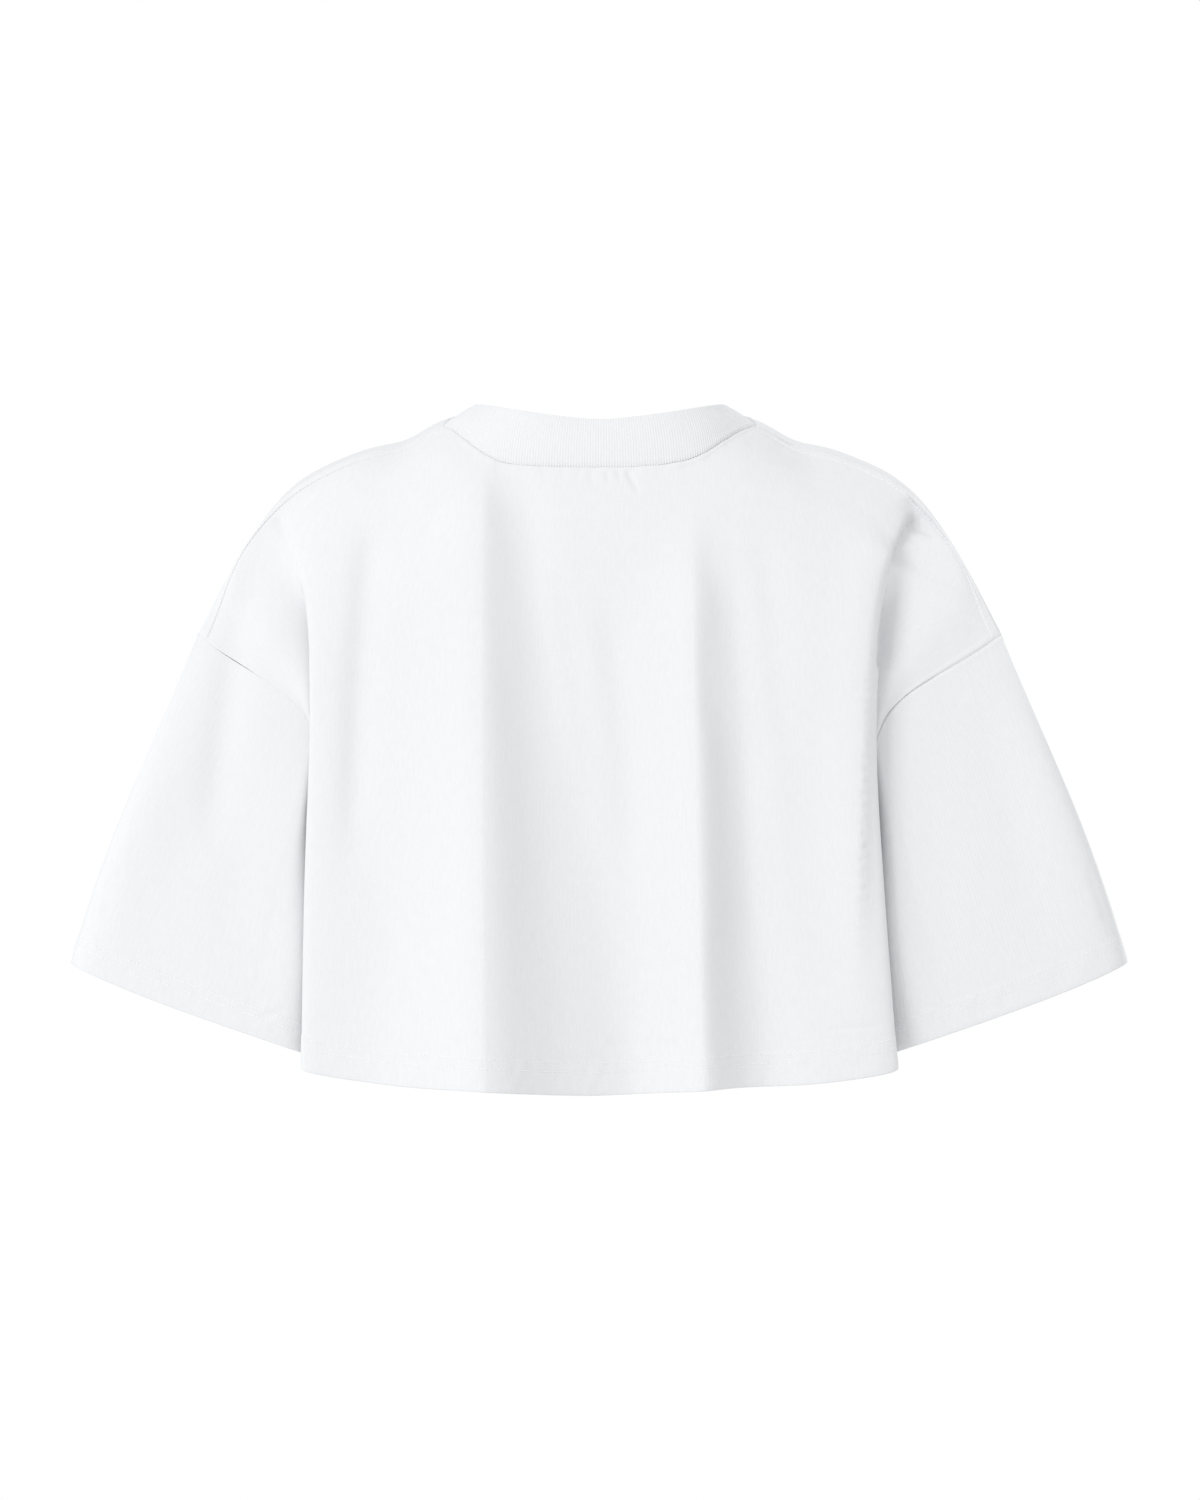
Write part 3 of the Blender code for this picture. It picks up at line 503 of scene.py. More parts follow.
def panel_net(sections, hem_field, neck_drop, neck_power, folds):
    """Points of a panel's outer face, row by row from the neck and shoulder seam to the hem."""
    sections = [Section(*row) for row in sections]
    level = arc_places(sections)
    underarm = level[[section.fall for section in sections].index(UNDERARM_FALL)]
    places = both_halves([column.at for column in COLUMNS], -1)
    columns = panel_column_places()
    across = [section_values(section) for section in sections]
    x_at = spline(places, np.array([x for x, y in across]).T, columns)
    y_at = spline(places, np.array([y for x, y in across]).T, columns)
    ridge = spline(places, both_halves([column.ridge_z for column in COLUMNS]), columns)
    hem = spline(places, both_halves([getattr(column, hem_field) for column in COLUMNS]), columns)
    falls = [section.fall for section in sections]
    rows = np.concatenate([crowded(ARMHOLE_ROWS, fine_start=2.5, fine_end=0, zone=0.05),
                           1.0 + crowded(SIDE_ROWS, fine_start=0, fine_end=2.6, zone=0.1)[1:]])
    net = np.zeros((len(rows), len(columns), 3))
    fine = np.linspace(0.0, 1.0, FINE_SAMPLES)
    fall_fine = spline(level, falls, fine)
    peak = int(np.argmin(fall_fine))
    for j, column in enumerate(columns):
        start = 0.0
        if abs(column) < NECK_AT - 1e-6:
            deepest = (ridge[j] + neck_drop) / (ridge[j] - hem[j])
            cut = float(np.interp(deepest, fall_fine[peak:], fine[peak:]))
            start = cut * (1 - (abs(column) / NECK_AT) ** neck_power[1 if column > 0 else -1])
        side_fall = UNDERARM_FALL + (1 - UNDERARM_FALL) * (rows - 1.0)
        place = np.where(rows <= 1.0,
                         start + (underarm - start) * rows,
                         np.interp(side_fall, fall_fine[peak:], fine[peak:]))
        values = spline(level, np.column_stack([x_at[j], y_at[j], falls]), place)
        down = values[:, 2]
        x = values[:, 0] * (1 + np.sign(column) * SIDE_EASE * np.sin(pi * np.clip(down, 0, 1)))
        lift = fold_lift(folds, x, down) * (1 - smooth_step(*FOLD_FADE, abs(column)))
        net[:, j, 0] = x
        net[:, j, 1] = values[:, 1] + lift * (1 if hem_field == "back_hem_z" else -1)
        hollow = NECK_HOLLOW * exp(-((abs(column) - HOLLOW_AT) / HOLLOW_WIDTH) ** 2)
        net[:, j, 2] = ridge[j] + (hem[j] - ridge[j]) * down
        net[:, j, 2] -= hollow * (1 - smooth_step(0.0, HOLLOW_ENDS, down))
    straighten_side_seam(net, columns)
    return net


def straighten_side_seam(net, columns):
    """Take the spline's small swing at the panel's ends out, so that the side seam lies at y = 0."""
    near_end = smooth_step(SEAM_STRAIGHTENS, 1.0, np.abs(columns))
    for half, end in ((columns < 0, 0), (columns > 0, -1)):
        swing = net[ARMHOLE_ROWS:, [end], 1]
        net[ARMHOLE_ROWS:, half, 1] -= swing * near_end[half]


# ---- the sleeves ----

def cuff_points(shares, side, turn):
    """Points of half the cuff, from the shoulder seam's line over the back (turn 1) or the front (-1) to
    its inner end, at the given shares of that length. With them come the ways that the swell pushes each
    point's line half way down the sleeve, and that the sleeve's corners are filled out."""
    angles = np.linspace(SLEEVE_SEAM_ANGLE, pi * turn, CUFF_SAMPLES)
    power = 2 / CUFF_SQUARENESS
    across = np.sign(np.cos(angles)) * np.abs(np.cos(angles)) ** power
    deep = np.sign(np.sin(angles)) * np.abs(np.sin(angles)) ** power
    depth = deep * (CUFF_HALF_DEPTH * (1 - CUFF_TAPER * (across + 1) / 2))
    out = np.array([side * cos(CUFF_TILT), 0.0, sin(CUFF_TILT)])
    backwards = np.array([0.0, 1.0, 0.0])
    spread = across * CUFF_HALF_WIDTH + depth / CUFF_HALF_DEPTH * CUFF_LEAN
    points = spread[:, None] * out + depth[:, None] * backwards
    points += np.array(CUFF_CENTRE) * [side, 1, 1] + [0.0, CUFF_BACKSET[side], 0.0]
    at_middle, at_outside = DROOP_SHARES
    points[:, 2] -= CUFF_DROOP * (1 - across ** 2) * (at_middle + at_outside * across)
    run = length_shares(points)
    swell = SWELL_OUT * across[:, None] * out + SWELL_DEEP * np.sin(angles)[:, None] * backwards
    swell *= SLEEVE_SWELL * smooth_step(*SWELL_RANGE, across)[:, None]
    corner = smooth_step(*CORNER_RANGE, np.abs(across)) * smooth_step(*CORNER_RANGE, np.abs(deep))
    inner = smooth_step(*INNER_RANGE, -across)
    fill = np.sign(deep)[:, None] * backwards - FILL_INWARDS * inner[:, None] * out
    fill *= (corner * (OUTER_FILL[side] + (INNER_FILL[side] - OUTER_FILL[side]) * inner))[:, None]
    fill *= 1 if turn > 0 else FRONT_FILL
    return [np.column_stack([np.interp(shares, run, part) for part in way.T])
            for way in (points, swell, fill)]


def sleeve_net(back, front, side):
    """Points of a sleeve's outer face, ring by ring from the armhole seam to the cuff."""
    end = -1 if side > 0 else 0
    behind = back[:ARMHOLE_ROWS + 1, end]
    before = front[:ARMHOLE_ROWS + 1, end]
    armhole = np.concatenate([behind, before[ARMHOLE_ROWS - 1:0:-1]])
    halves = [cuff_points(length_shares(behind), side, 1),
              cuff_points(length_shares(before)[ARMHOLE_ROWS - 1:0:-1], side, -1)]
    cuff, swell, fill = (np.concatenate([first, second]) for first, second in zip(*halves))
    rings = []
    for share in crowded(SLEEVE_ROWS, fine_start=2, fine_end=2.6, zone=0.09):
        rings.append(armhole + (cuff - armhole) * share + swell * sin(pi * share ** SWELL_LOWNESS)
                     + fill * sin(pi * share ** FILL_LOWNESS))
    return np.array(rings)


# ---- the neckband ----

def neck_ring(back, front):
    """The neck seam once round, with each point's place, -1 and 1 at the high shoulder points, and
    whether it lies on the back."""
    first = SHOULDER_CELLS
    last = SHOULDER_CELLS + 2 * NECK_CELLS
    ring = np.concatenate([back[0, first:last + 1], front[0, first:last][::-1]])
    place = np.linspace(-1, 1, 2 * NECK_CELLS + 1)
    behind = np.arange(len(ring)) < len(place)
    return ring, np.concatenate([place, place[-2::-1]]), behind


def band_top(place, behind):
    """The band's folded top edge at the given places."""
    share = np.abs(place)
    reach = share * (1 + BAND_SPREAD * (1 - share ** 2))
    inwards = np.sqrt(1 - np.clip(reach, 0, 1) ** BAND_ROUND)
    depth = np.where(behind, BAND_BACK_DEPTH, BAND_FRONT_DEPTH) - BAND_SIDE_DEPTH
    low = np.where(behind, BAND_BACK_RISE, BAND_FRONT_RISE)
    dip = np.where(behind, BAND_BACK_DIP, BAND_FRONT_DIP)
    return np.column_stack([np.sign(place) * BAND_SIDE_HALF * reach,
                            BAND_SIDE_DEPTH + depth * inwards,
                            low + (BAND_SIDE_RISE - low) * reach ** dip])


def band_net(back, front):
    """The band's closed section, ring by ring: up its outer face, over the fold and down the inside."""
    ring, place, behind = neck_ring(back, front)
    run = run_along(ring)
    top_run = run_along(band_top(place, behind))
    ribs = round((run[-1] + top_run[-1]) / 2 / RIB_PITCH)
    count = ribs * RIB_POINTS
    at = np.arange(count) / count * run[-1]
    seam = np.column_stack([np.interp(at, run, part) for part in ring.T])
    place = np.interp(at, run, place)
    top = band_top(place, at < run[2 * NECK_CELLS])
    outward = unit((seam - NECK_MIDDLE) * [1, 1, 0])
    tall = np.linalg.norm(top - seam, axis=1)[:, None]

    def face(part):
        return seam + (top - seam) * part + BAND_BULGE * sin(pi * np.clip(part, 0, 1)) * outward

    fold_from = 1 - RIB / 2 / tall.mean()
    parts = fold_from * np.linspace(0, 1, BAND_OUTER_ROWS + 1) ** BAND_CROWDING
    faces = np.array([face(part) for part in parts])
    normals = outward_from(faces)
    rise = unit(faces[-1] - faces[-2])
    deep = RIB_DEPTH * (0.5 + 0.5 * np.cos(2 * pi * np.arange(count) / RIB_POINTS))
    loose = (1 - smooth_step(*BAND_LOOSE, place))[:, None]
    dip = SEAM_DIP * (NECK_SEAM_DIP[0] + NECK_SEAM_DIP[1] * loose)
    roll = BAND_ROLL[0] + BAND_ROLL[1] * loose
    rings = []
    for part, points, normal in zip(parts, faces, normals):
        from_seam = part * tall
        tight = 1 + RIB_SEAM_DEPTH * np.exp(-from_seam / RIB_SEAM_REACH)
        lift = -deep[:, None] * tight - dip * hump(from_seam, 0, BAND_DIP_WIDTH)
        lift += roll * hump(from_seam, middle=3.4, width=1.8)
        rings.append(points + normal * lift)
    middle = faces[-1] - normals[-1] * RIB / 2
    for step in range(1, BAND_TOP_ROWS + 1):
        angle = pi * step / (BAND_TOP_ROWS + 1)
        way = normals[-1] * cos(angle) + rise * sin(angle)
        rings.append(middle + way * (RIB / 2 - RIB_FOLD_SHARE * deep[:, None]))
    for row in range(BAND_INNER_ROWS + 1):
        k = round(BAND_OUTER_ROWS * (1 - row / BAND_INNER_ROWS))
        rings.append(faces[k] - normals[k] * (RIB - deep[:, None]))
    return np.array(rings)


# ---- relief of the seams and hems ----

def stitch_grooves(distance, rows):
    return -GROOVE * sum(hump(distance, at, GROOVE_WIDTH) for at in rows)


def hem_relief(distance, place, count, rows, seed):
    """Relief of a turned edge: a puff under the stitches, and small puckers that lean across it."""
    upper = rows[1]
    inside = 1 - smooth_step(upper + HEM_STEP[0], upper + HEM_STEP[1], distance)
    puff = HEM_PUFF * inside * smooth_step(0, HEM_EDGE, distance)
    lean = distance / PUCKER_LEAN
    coarse, fine, above = PUCKER_HEIGHTS
    puckers = coarse * wander(place + lean, count, seed)
    puckers += fine * wander(FINE_PUCKERS * place - lean, count, seed + 1)
    puckers *= inside * smooth_step(*PUCKER_EDGE, distance)
    above_row = above * wander(place, count, seed + 2) * hump(distance, middle=upper + 4, width=3.5)
    return puff + puckers + above_row + stitch_grooves(distance, rows)


def panel_relief(net, creases, seed):
    """Everything that lifts a panel's cloth off its long forms."""
    rows, columns = net.shape[:2]
    from_top = run_along(net)
    to_hem = from_top[-1] - from_top
    across = run_along(net, axis=1)
    to_end = np.minimum(across, across[:, -1:] - across)
    place = panel_column_places()
    on_neck = 1 - smooth_step(NECK_AT - NECK_BLEND, NECK_AT + NECK_BLEND, np.abs(place))
    lift = ripple(net) * smooth_step(0, RIPPLE_FADE, to_end)
    lift += crease_lift(net, creases) * smooth_step(0, SEAM_HOLDS, from_top)

    hem_run = across[-1] / across[-1, -1]
    count = round(across[-1, -1] / PUCKER_PITCH)
    lift += hem_relief(to_hem, hem_run * count, count, HEM_ROWS, seed)

    seam_run = across[0] / across[0, -1]
    gathers = wander(seam_run * GATHERS, GATHERS, seed + 5) * hump(from_top, middle=2, width=7)
    loose = 1 - smooth_step(*PANEL_LOOSE, place)
    roll = (PANEL_ROLL[0] + PANEL_ROLL[1] * loose) * hump(from_top, middle=2.6, width=1.6)
    lift += on_neck * (GATHER_HEIGHT * gathers + roll)
    if creases is BACK_CREASES:
        allowance = ALLOWANCE * smooth_step(*ALLOWANCE_START, from_top)
        allowance *= 1 - smooth_step(*ALLOWANCE_END, from_top)
        allowance += stitch_grooves(from_top, (SHOULDER_ROW,)) + SHOULDER_GATHERS * gathers
        lift += (1 - on_neck) * allowance * smooth_step(0, ALLOWANCE_FADE, to_end)
    neck_dip = SEAM_DIP * (NECK_SEAM_DIP[0] + NECK_SEAM_DIP[1] * loose)
    lift -= (on_neck * neck_dip + (1 - on_neck) * SEAM_DIP) * hump(from_top, 0, SEAM_DIP_WIDTH)

    beside_arm = (np.arange(rows) <= ARMHOLE_ROWS)[:, None]
    dip = np.where(place > 0, ARM_SEAM_DIP[1], ARM_SEAM_DIP[-1])
    roll = ARM_ROLL * hump(to_end, middle=3, width=1.7) * smooth_step(*ARM_ROLL_FADE, from_top)
    roll = np.where(beside_arm, roll, SIDE_ROLL_SHARE * roll) * dip / SEAM_DIP
    return lift + roll - dip * hump(to_end, 0, SEAM_DIP_WIDTH)


def sleeve_relief(net, normals, side):
    run = run_along(net)
    to_cuff = run[-1] - run
    around = run_along(np.concatenate([net[-1], net[-1][:1]]))
    count = round(around[-1] / PUCKER_PITCH)
    place = around[:-1] / around[-1] * count
    behind, before = SLEEVE_CREASES[side]
    lift = ripple(net) * smooth_step(0, SLEEVE_RIPPLE_FADE, run)
    lift += crease_lift(net, behind) * smooth_step(*CREASE_TURNS, normals[..., 1])
    lift += crease_lift(net, before) * smooth_step(*CREASE_TURNS, -normals[..., 1])
    lift += hem_relief(to_cuff, place, count, CUFF_ROWS, CUFF_SEED + side)
    roll = SLEEVE_ROLL_SHARE * hump(run, middle=2.6, width=1.5)
    return lift - ARM_SEAM_DIP[side] * (hump(run, 0, SEAM_DIP_WIDTH) - roll)


# ---- shells ----

def net_normals(net, ring):
    """Unit normals of a net; ring says that its columns close round."""
    if ring:
        across = np.roll(net, -1, axis=1) - np.roll(net, 1, axis=1)
    else:
        across = np.gradient(net, axis=1)
    down = np.gradient(net, axis=0)
    return unit(np.cross(across, down))


def outward_from(net):
    """Normals of a ring net, pointing away from its middle."""
    normals = net_normals(net, True)
    middle = net.mean(axis=1, keepdims=True)
    if np.sum(normals * (net - middle)) < 0:
        normals = -normals
    return normals


def cloth_map(net, ring):
    """Each point's place on the flat cloth, across and down, in millimetres."""
    middle = net[net.shape[0] // 2]
    across = run_along(middle) if not ring else run_along(np.concatenate([middle, middle[:1]]))[:-1]
    around = np.linalg.norm(middle[0] - middle[-1]) + across[-1] if ring else 0.0
    down = run_along(net)
    return np.stack([across * np.ones_like(down), down], -1), around


def grid_faces(rows, columns, first, ring):
    i, j = np.meshgrid(np.arange(rows - 1), np.arange(columns if ring else columns - 1), indexing="ij")
    a, b = first + i * columns + j, first + i * columns + (j + 1) % columns
    return np.stack([a, b, b + columns, a + columns], -1).reshape(-1, 4)


def cloth_shell(name, net, normals, ring, material):
    """A closed shell of cloth: a fine outer face, an inner face at half its fineness, and the edges
    between them. The last row is a folded edge, so it is rounded."""
    if np.sum(net_normals(net, ring) * normals) < 0:
        net, normals = net[:, ::-1], normals[:, ::-1]
    rows, columns = net.shape[:2]
    cells = columns if ring else columns - 1
    inner_net = (net - normals * JERSEY)[::2, ::2]
    inner_rows, inner_columns = inner_net.shape[:2]
    half = rows * columns
    edge = half + inner_rows * inner_columns
    downwards = unit(net[-1] - net[-2])[::2]
    fold_row = (net[-1, ::2] + inner_net[-1]) / 2 + downwards * JERSEY * FOLD_ROUNDING
    faces = grid_faces(rows, columns, 0, ring).tolist()
    faces += grid_faces(inner_rows, inner_columns, half, ring)[:, ::-1].tolist()
    bottom, last = (rows - 1) * columns, half + (inner_rows - 1) * inner_columns
    for j in range(0, cells, 2):
        k, k2 = j // 2, (j // 2 + 1) % inner_columns
        faces.append([(j + 2) % columns, j + 1, j, half + k, half + k2])
        faces.append([bottom + j, bottom + j + 1, bottom + (j + 2) % columns, edge + k2, edge + k])
        faces.append([edge + k, edge + k2, last + k2, last + k])
    if not ring:
        for i in range(0, rows - 1, 2):
            start, end = i * columns, i * columns + columns - 1
            k = half + (i // 2) * inner_columns
            faces.append([start, start + columns, start + 2 * columns, k + inner_columns, k])
            k += inner_columns - 1
            faces.append([end + 2 * columns, end + columns, end, k, k + inner_columns])
        faces.append([bottom, edge, last])
        faces.append([bottom + columns - 1, last + inner_columns - 1, edge + inner_columns - 1])
    points = np.concatenate([net.reshape(-1, 3), inner_net.reshape(-1, 3), fold_row])
    flat, around = cloth_map(net, ring)
    inner_flat = flat[::2, ::2]
    flat = np.concatenate([flat.reshape(-1, 2), inner_flat.reshape(-1, 2), inner_flat[-1]])
    return new_piece(name, points, faces, flat, around, material, sharp=50)


def new_piece(name, points, faces, flat, around, material, sharp):
    """A mesh object in metres, with the flat places as its UV map and edges over sharp degrees shaded
    sharp. On a tube, around is the length once round, so that the faces that close it map past it."""
    mesh = bpy.data.meshes.new(name)
    mesh.from_pydata((points * MM).tolist(), [], faces)
    layer = mesh.uv_layers.new(name="cloth")
    corners = np.zeros(len(mesh.loops), int)
    mesh.loops.foreach_get("vertex_index", corners)
    places = flat[corners]
    if around:
        starts = np.zeros(len(mesh.polygons), int)
        sizes = np.zeros(len(mesh.polygons), int)
        mesh.polygons.foreach_get("loop_start", starts)
        mesh.polygons.foreach_get("loop_total", sizes)
        highest = np.repeat(np.maximum.reduceat(places[:, 0], starts), sizes)
        places[:, 0] += np.where(highest - places[:, 0] > around / 2, around, 0)
    layer.data.foreach_set("uv", (places * CLOTH_MAP_SCALE).ravel())
    mesh.shade_smooth()
    mesh.set_sharp_from_angle(angle=radians(sharp))
    mesh.materials.append(material)
    piece = bpy.data.objects.new(name, mesh)
    bpy.context.scene.collection.objects.link(piece)
    return piece


def rib_band(name, net, material):
    """The neckband's closed tube, whose section also closes."""
    rows, columns = net.shape[:2]
    closed = np.concatenate([net, net[:1]])
    faces = grid_faces(rows + 1, columns, 0, True) % (rows * columns)
    if np.sum(net_normals(net[:4], True) * outward_from(net[:4])) < 0:
        faces = faces[:, ::-1]
    across = run_along(net[0])
    down = run_along(closed)[:-1]
    flat = np.stack([across * np.ones_like(down), down], -1).reshape(-1, 2)
    around = across[-1] + RIB_PITCH
    return new_piece(name, net.reshape(-1, 3), faces.tolist(), flat, around, material, sharp=80)


# ---- threads ----

def thread_line(name, lines, material):
    """Rows of stitches as one mesh. Each line is (points, normals) along the cloth."""
    turns = np.arange(THREAD_SIDES) * 2 * pi / THREAD_SIDES
    wide, high = THREAD_SHAPE
    rise, sunk = STITCH_ARCH
    vertices, faces = [], []
    for points, normals in lines:
        run = run_along(points)
        for start in np.arange(STITCH_PITCH / 2, run[-1] - STITCH_PITCH / 2, STITCH_PITCH):
            here = line_point(points, run, start)
            before = line_point(points, run, start - STITCH_LENGTH / 2)
            after = line_point(points, run, start + STITCH_LENGTH / 2)
            along = unit(after - before)
            up = unit(line_point(normals, run, start))
            side = np.cross(along, up)
            first = len(vertices)
            for at, size in STITCH_SHAPE:
                centre = here + along * at * STITCH_LENGTH + up * THREAD * (rise * size - sunk)
                for turn in turns:
                    way = side * cos(turn) * wide + up * sin(turn) * high
                    vertices.append(centre + way * THREAD * size)
            last = first + THREAD_SIDES * (len(STITCH_SHAPE) - 1)
            for ring in range(first, last, THREAD_SIDES):
                for k in range(THREAD_SIDES):
                    a, b = ring + k, ring + (k + 1) % THREAD_SIDES
                    faces.append([a, b, b + THREAD_SIDES, a + THREAD_SIDES])
            faces.append([first + k for k in reversed(range(THREAD_SIDES))])
            faces.append([last + k for k in range(THREAD_SIDES)])
    flat = np.zeros((len(vertices), 2))
    return new_piece(name, np.array(vertices), faces, flat, 0, material, sharp=80)


def line_point(values, run, at):
    """Values given along a line, read at one distance."""
    return np.array([np.interp(at, run, part) for part in values.T])


def line_at(net, normals, distance, from_end):
    """The line on a net that lies a given distance from its first row, or from its last."""
    run = run_along(net)
    if from_end:
        run = (run[-1] - run)[::-1]
        net, normals = net[::-1], normals[::-1]
    points, ups = [], []
    for j in range(net.shape[1]):
        points.append(line_point(net[:, j], run[:, j], distance))
        ups.append(line_point(normals[:, j], run[:, j], distance))
    return np.array(points), np.array(ups)


# ---- materials ----

def linear(hex_colour):
    """An sRGB hex colour as the linear numbers that a shader takes."""
    parts = [int(hex_colour[k:k + 2], 16) / 255 for k in (1, 3, 5)]
    return tuple(c / 12.92 if c <= 0.04045 else ((c + 0.055) / 1.055) ** 2.4 for c in parts) + (1.0,)


def node(tree, kind, feeds=(), **settings):
    """Add a node, set its properties, and feed its inputs with values or with other nodes' outputs."""
    new = tree.nodes.new(kind)
    for name, value in settings.items():
        setattr(new, name, value)
    for name, value in feeds:
        if isinstance(value, bpy.types.NodeSocket):
            tree.links.new(value, new.inputs[name])
        else:
            new.inputs[name].default_value = value
    return new


def new_material(name, roughness, specular):
    material = bpy.data.materials.new(name)
    material.use_nodes = True
    tree = material.node_tree
    shader = tree.nodes["Principled BSDF"]
    shader.inputs["Roughness"].default_value = roughness
    shader.inputs["Specular IOR Level"].default_value = specular
    return material, tree, shader


def cotton(name, light, dark, wale, course, knit_depth):
    """Cotton knit. On its UV map a noise texture with cells p mm wide has the Scale 100 / p."""
    material, tree, shader = new_material(name, 0.92, 0.2)
    cloth = node(tree, "ShaderNodeUVMap", uv_map="cloth").outputs["UV"]

    # Uneven spinning leaves soft streaks along the wales, about 2 mm wide and 9 mm long.
    streak_place = node(tree, "ShaderNodeMapping", [("Vector", cloth), ("Scale", (50.0, 11.0, 1.0))])
    streaks = node(tree, "ShaderNodeTexNoise",
                   [("Vector", streak_place.outputs[0]), ("Scale", 1.0), ("Detail", 3.0),
                    ("Roughness", 0.6)], noise_dimensions="2D")
    # Single fibres and loops catch the light in specks of about 1 mm.
    specks = node(tree, "ShaderNodeTexNoise",
                  [("Vector", cloth), ("Scale", 95.0), ("Detail", 2.0), ("Roughness", 0.7)],
                  noise_dimensions="2D")
    tone = node(tree, "ShaderNodeMath", [(0, streaks.outputs["Fac"]), (1, specks.outputs["Fac"])],
                operation="MULTIPLY")
    shade = node(tree, "ShaderNodeMapRange",
                 [("Value", tone.outputs[0]), ("From Min", 0.12), ("From Max", 0.42)])
    colour = node(tree, "ShaderNodeMix", [("Factor", shade.outputs[0]), ("A", linear(dark)),
                                          ("B", linear(light))], data_type="RGBA")
    tree.links.new(colour.outputs["Result"], shader.inputs["Base Color"])

    # Wales run down the cloth and courses run across it.
    wales, courses = (
        node(tree, "ShaderNodeTexWave",
             [("Vector", cloth), ("Scale", WAVE_SCALE / pitch), ("Distortion", distortion), ("Detail", 1.0),
              ("Detail Scale", 2.0)], wave_type="BANDS", bands_direction=direction)
        for direction, pitch, distortion in (("X", wale, 0.6), ("Y", course, 0.9)))
    surface = wales.outputs["Fac"]
    for part, share in ((courses, 0.5), (specks, 1.3), (streaks, 1.0)):
        surface = node(tree, "ShaderNodeMath", [(0, part.outputs["Fac"]), (1, share), (2, surface)],
                       operation="MULTIPLY_ADD").outputs[0]
    bump = node(tree, "ShaderNodeBump",
                [("Strength", 1.0), ("Distance", knit_depth * MM), ("Height", surface)])
    tree.links.new(bump.outputs[0], shader.inputs["Normal"])
    return material


def polyester_thread(name, colour):
    """Spun polyester sewing thread, bleached white: a little brighter and smoother than the cotton."""
    material, tree, shader = new_material(name, 0.6, 0.35)
    place = node(tree, "ShaderNodeTexCoord").outputs["Object"]
    twist = node(tree, "ShaderNodeTexNoise", [("Vector", place), ("Scale", 900.0)])
    shade = node(tree, "ShaderNodeMapRange", [("Value", twist.outputs["Fac"]), ("From Min", 0.3),
                                              ("From Max", 0.7), ("To Min", 0.9), ("To Max", 1.0)])
    tint = node(tree, "ShaderNodeMix", [("Factor", shade.outputs[0]), ("B", linear(colour))],
                data_type="RGBA")
    tree.links.new(tint.outputs["Result"], shader.inputs["Base Color"])
    return material


# ---- the garment ----
back = panel_net(BACK_SECTIONS, "back_hem_z", BACK_NECK_DROP, BACK_NECK_POWER, BACK_FOLDS)
front = panel_net(FRONT_SECTIONS, "front_hem_z", FRONT_NECK_DROP, FRONT_NECK_POWER, FRONT_FOLDS)
shoulder = np.r_[0:SHOULDER_CELLS + 1, SHOULDER_CELLS + 2 * NECK_CELLS:back.shape[1]]
front[0, shoulder] = back[0, shoulder]
front[ARMHOLE_ROWS:, [0, -1]] = back[ARMHOLE_ROWS:, [0, -1]]
sleeves = {side: sleeve_net(back, front, side) for side in (1, -1)}
band = band_net(back, front)

back_out = net_normals(back, False)
front_out = -net_normals(front, False)
back += back_out * panel_relief(back, BACK_CREASES, BACK_SEED)[..., None]
front += front_out * panel_relief(front, FRONT_CREASES, FRONT_SEED)[..., None]
sleeve_out = {}
for side, net in sleeves.items():
    sleeve_out[side] = outward_from(net)
    net += sleeve_out[side] * sleeve_relief(net, sleeve_out[side], side)[..., None]

# Heavy cotton single jersey, bleached and washed: matt, with a faint blue white. Its real wales lie
# about 0.75 mm apart and its courses 0.6 mm, too fine to show, so they are drawn three times as wide.
jersey = cotton("white_cotton_jersey", "#D3D4D6", "#CFD0D2", 2.3, 1.9, 0.02)
# 1x1 cotton rib, knitted tighter from the same yarn. The ribs themselves are in the mesh.
rib = cotton("white_cotton_rib", "#D4D5D7", "#D0D1D3", 1.2, 1.6, 0.015)
thread = polyester_thread("white_polyester_thread", "#E2E4E6")

back_cloth = cloth_shell("back_cloth", back, back_out, False, jersey)
front_cloth = cloth_shell("front_cloth", front, front_out, False, jersey)
left_cloth = cloth_shell("sleeve_left_cloth", sleeves[1], sleeve_out[1], True, jersey)
right_cloth = cloth_shell("sleeve_right_cloth", sleeves[-1], sleeve_out[-1], True, jersey)
band_cloth = rib_band("neckband_rib", band, rib)

hem_threads = {}
for name, net, normals in (("back", back, back_out), ("front", front, front_out)):
    lines = [line_at(net, normals, at, True) for at in HEM_ROWS]
    hem_threads[name] = thread_line(f"hem_thread_{name}", lines, thread)
shoulder_lines = []
for part in (slice(1, SHOULDER_CELLS - 1), slice(SHOULDER_CELLS + 2 * NECK_CELLS + 2, -1)):
    shoulder_lines.append(line_at(back[:, part], back_out[:, part], SHOULDER_ROW, False))
shoulder_thread = thread_line("shoulder_thread", shoulder_lines, thread)
cuff_threads = {}
for side, name in ((1, "left"), (-1, "right")):
    net = np.concatenate([sleeves[side], sleeves[side][:, :1]], axis=1)
    normals = np.concatenate([sleeve_out[side], sleeve_out[side][:, :1]], axis=1)
    lines = [line_at(net, normals, at, True) for at in CUFF_ROWS]
    cuff_threads[name] = thread_line(f"cuff_thread_{name}", lines, thread)

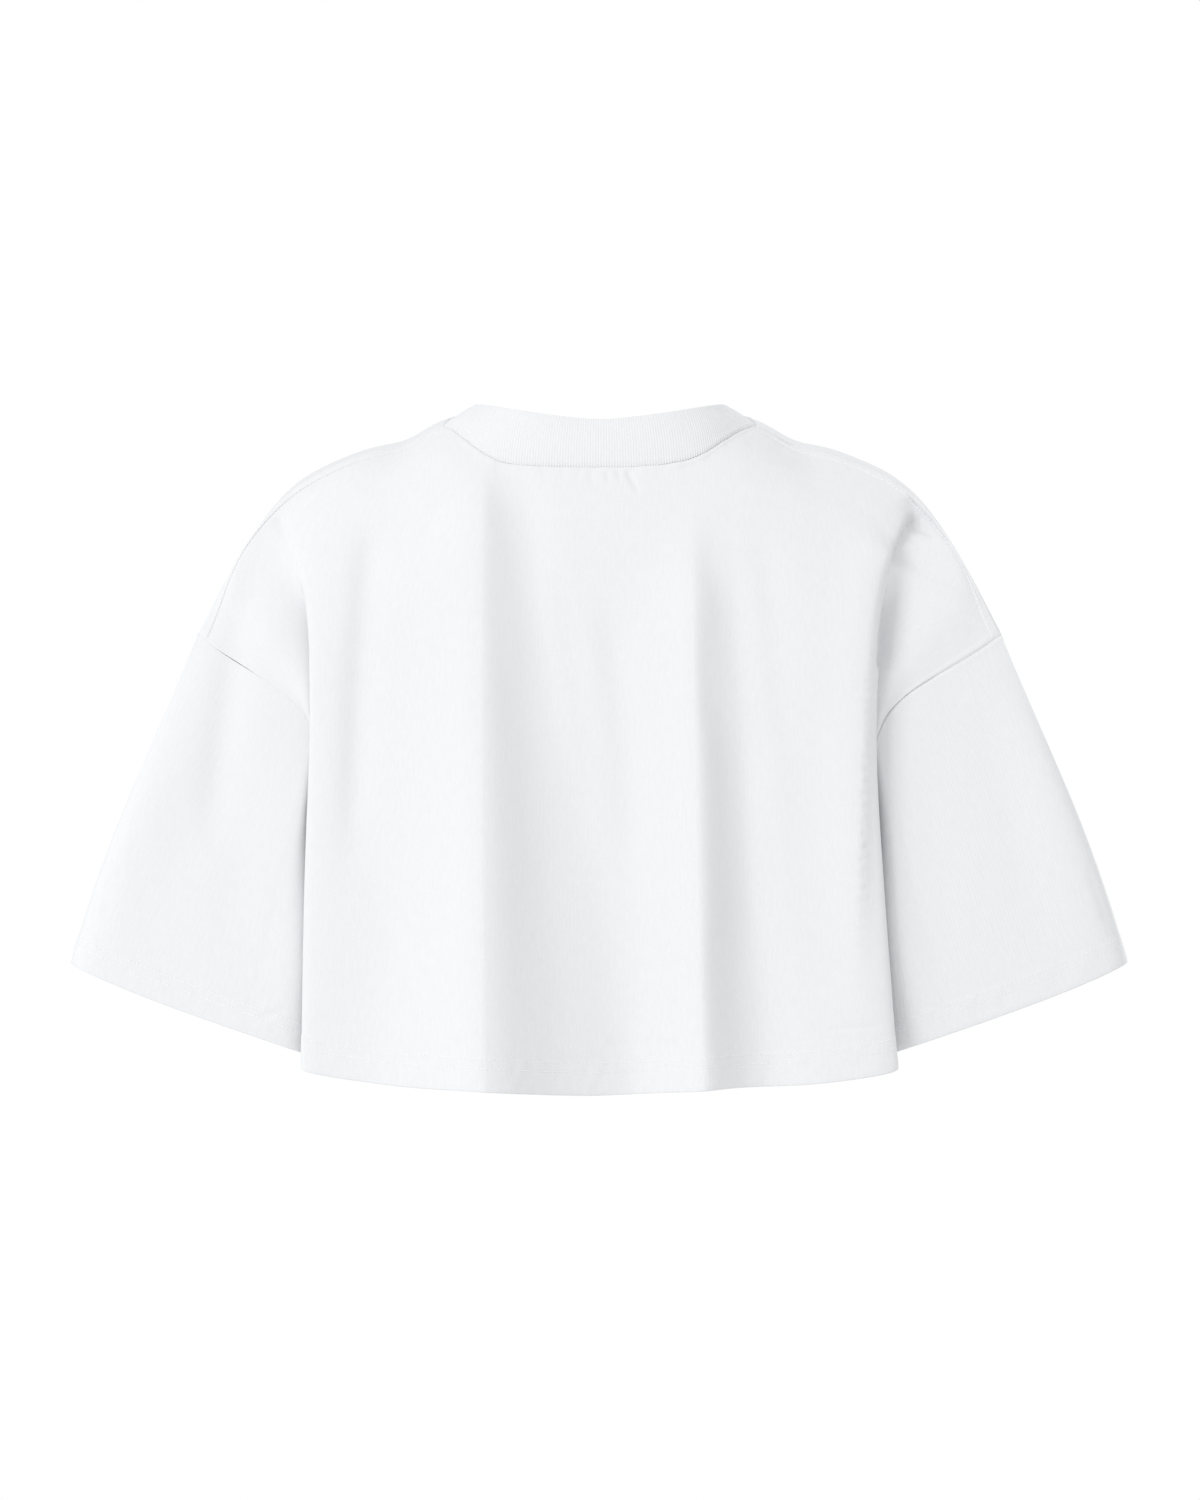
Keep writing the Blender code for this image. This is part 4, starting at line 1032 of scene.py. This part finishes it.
for piece, node_name, slot in (
        (back_cloth, "back", "jersey"), (front_cloth, "front", "jersey"),
        (left_cloth, "sleeve_left", "jersey"), (right_cloth, "sleeve_right", "jersey"),
        (band_cloth, "neckband", "rib")):
    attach(piece, "root")
    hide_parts(node_name)
for piece in (*hem_threads.values(), *cuff_threads.values(), shoulder_thread):
    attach(piece, "root")

# ---- floor, light, camera, in metres ----
LIGHT_AWAY = 6.0
LIGHT_SIZE = 2.3
LIGHTS_MEET = Vector((0, 0, -0.22))
scene = bpy.context.scene
bpy.ops.object.select_all(action="DESELECT")
bpy.ops.mesh.primitive_circle_add(vertices=96, radius=2.6, fill_type="NGON", location=(0, 0, -1.45))
floor = bpy.context.object
floor.name = "floor"
floor_paint = bpy.data.materials.new("pale_floor_paint")
floor_paint.use_nodes = True
floor_paint.node_tree.nodes["Principled BSDF"].inputs["Base Color"].default_value = (0.9, 0.9, 0.9, 1)
floor.data.materials.append(floor_paint)

world = bpy.data.worlds.new("studio")
scene.world = world
world.use_nodes = True
background = world.node_tree.nodes["Background"]
background.inputs["Color"].default_value = (1, 1, 1, 1)
background.inputs["Strength"].default_value = 1.0


def softbox(name, azimuth, elevation, power):
    """A square light that looks at the garment's middle. Azimuth 0 is behind the back, 90 at +X."""
    light = bpy.data.lights.new(name, "AREA")
    light.shape = "RECTANGLE"
    light.size = light.size_y = LIGHT_SIZE
    light.energy = power
    holder = bpy.data.objects.new(name, light)
    scene.collection.objects.link(holder)
    turn, tilt = radians(azimuth), radians(elevation)
    way = Vector((sin(turn) * cos(tilt), cos(turn) * cos(tilt), sin(tilt)))
    holder.location = LIGHTS_MEET + LIGHT_AWAY * way
    holder.rotation_euler = (LIGHTS_MEET - holder.location).to_track_quat("-Z", "Y").to_euler()


softbox("key", 44, 20, 165)
softbox("fill", -65, 35, 22)
softbox("far_key", 225, 20, 120)

camera = bpy.data.cameras.new("camera")
camera.sensor_width = 36.0
camera.lens = 102.857  # shows 1.05 m of height at the garment
eye = bpy.data.objects.new("camera", camera)
scene.collection.objects.link(eye)
eye.location = (0.0, 3.0, -0.224)
eye.rotation_euler = (radians(90), 0, radians(180))
scene.camera = eye
scene.view_settings.view_transform = "Standard"
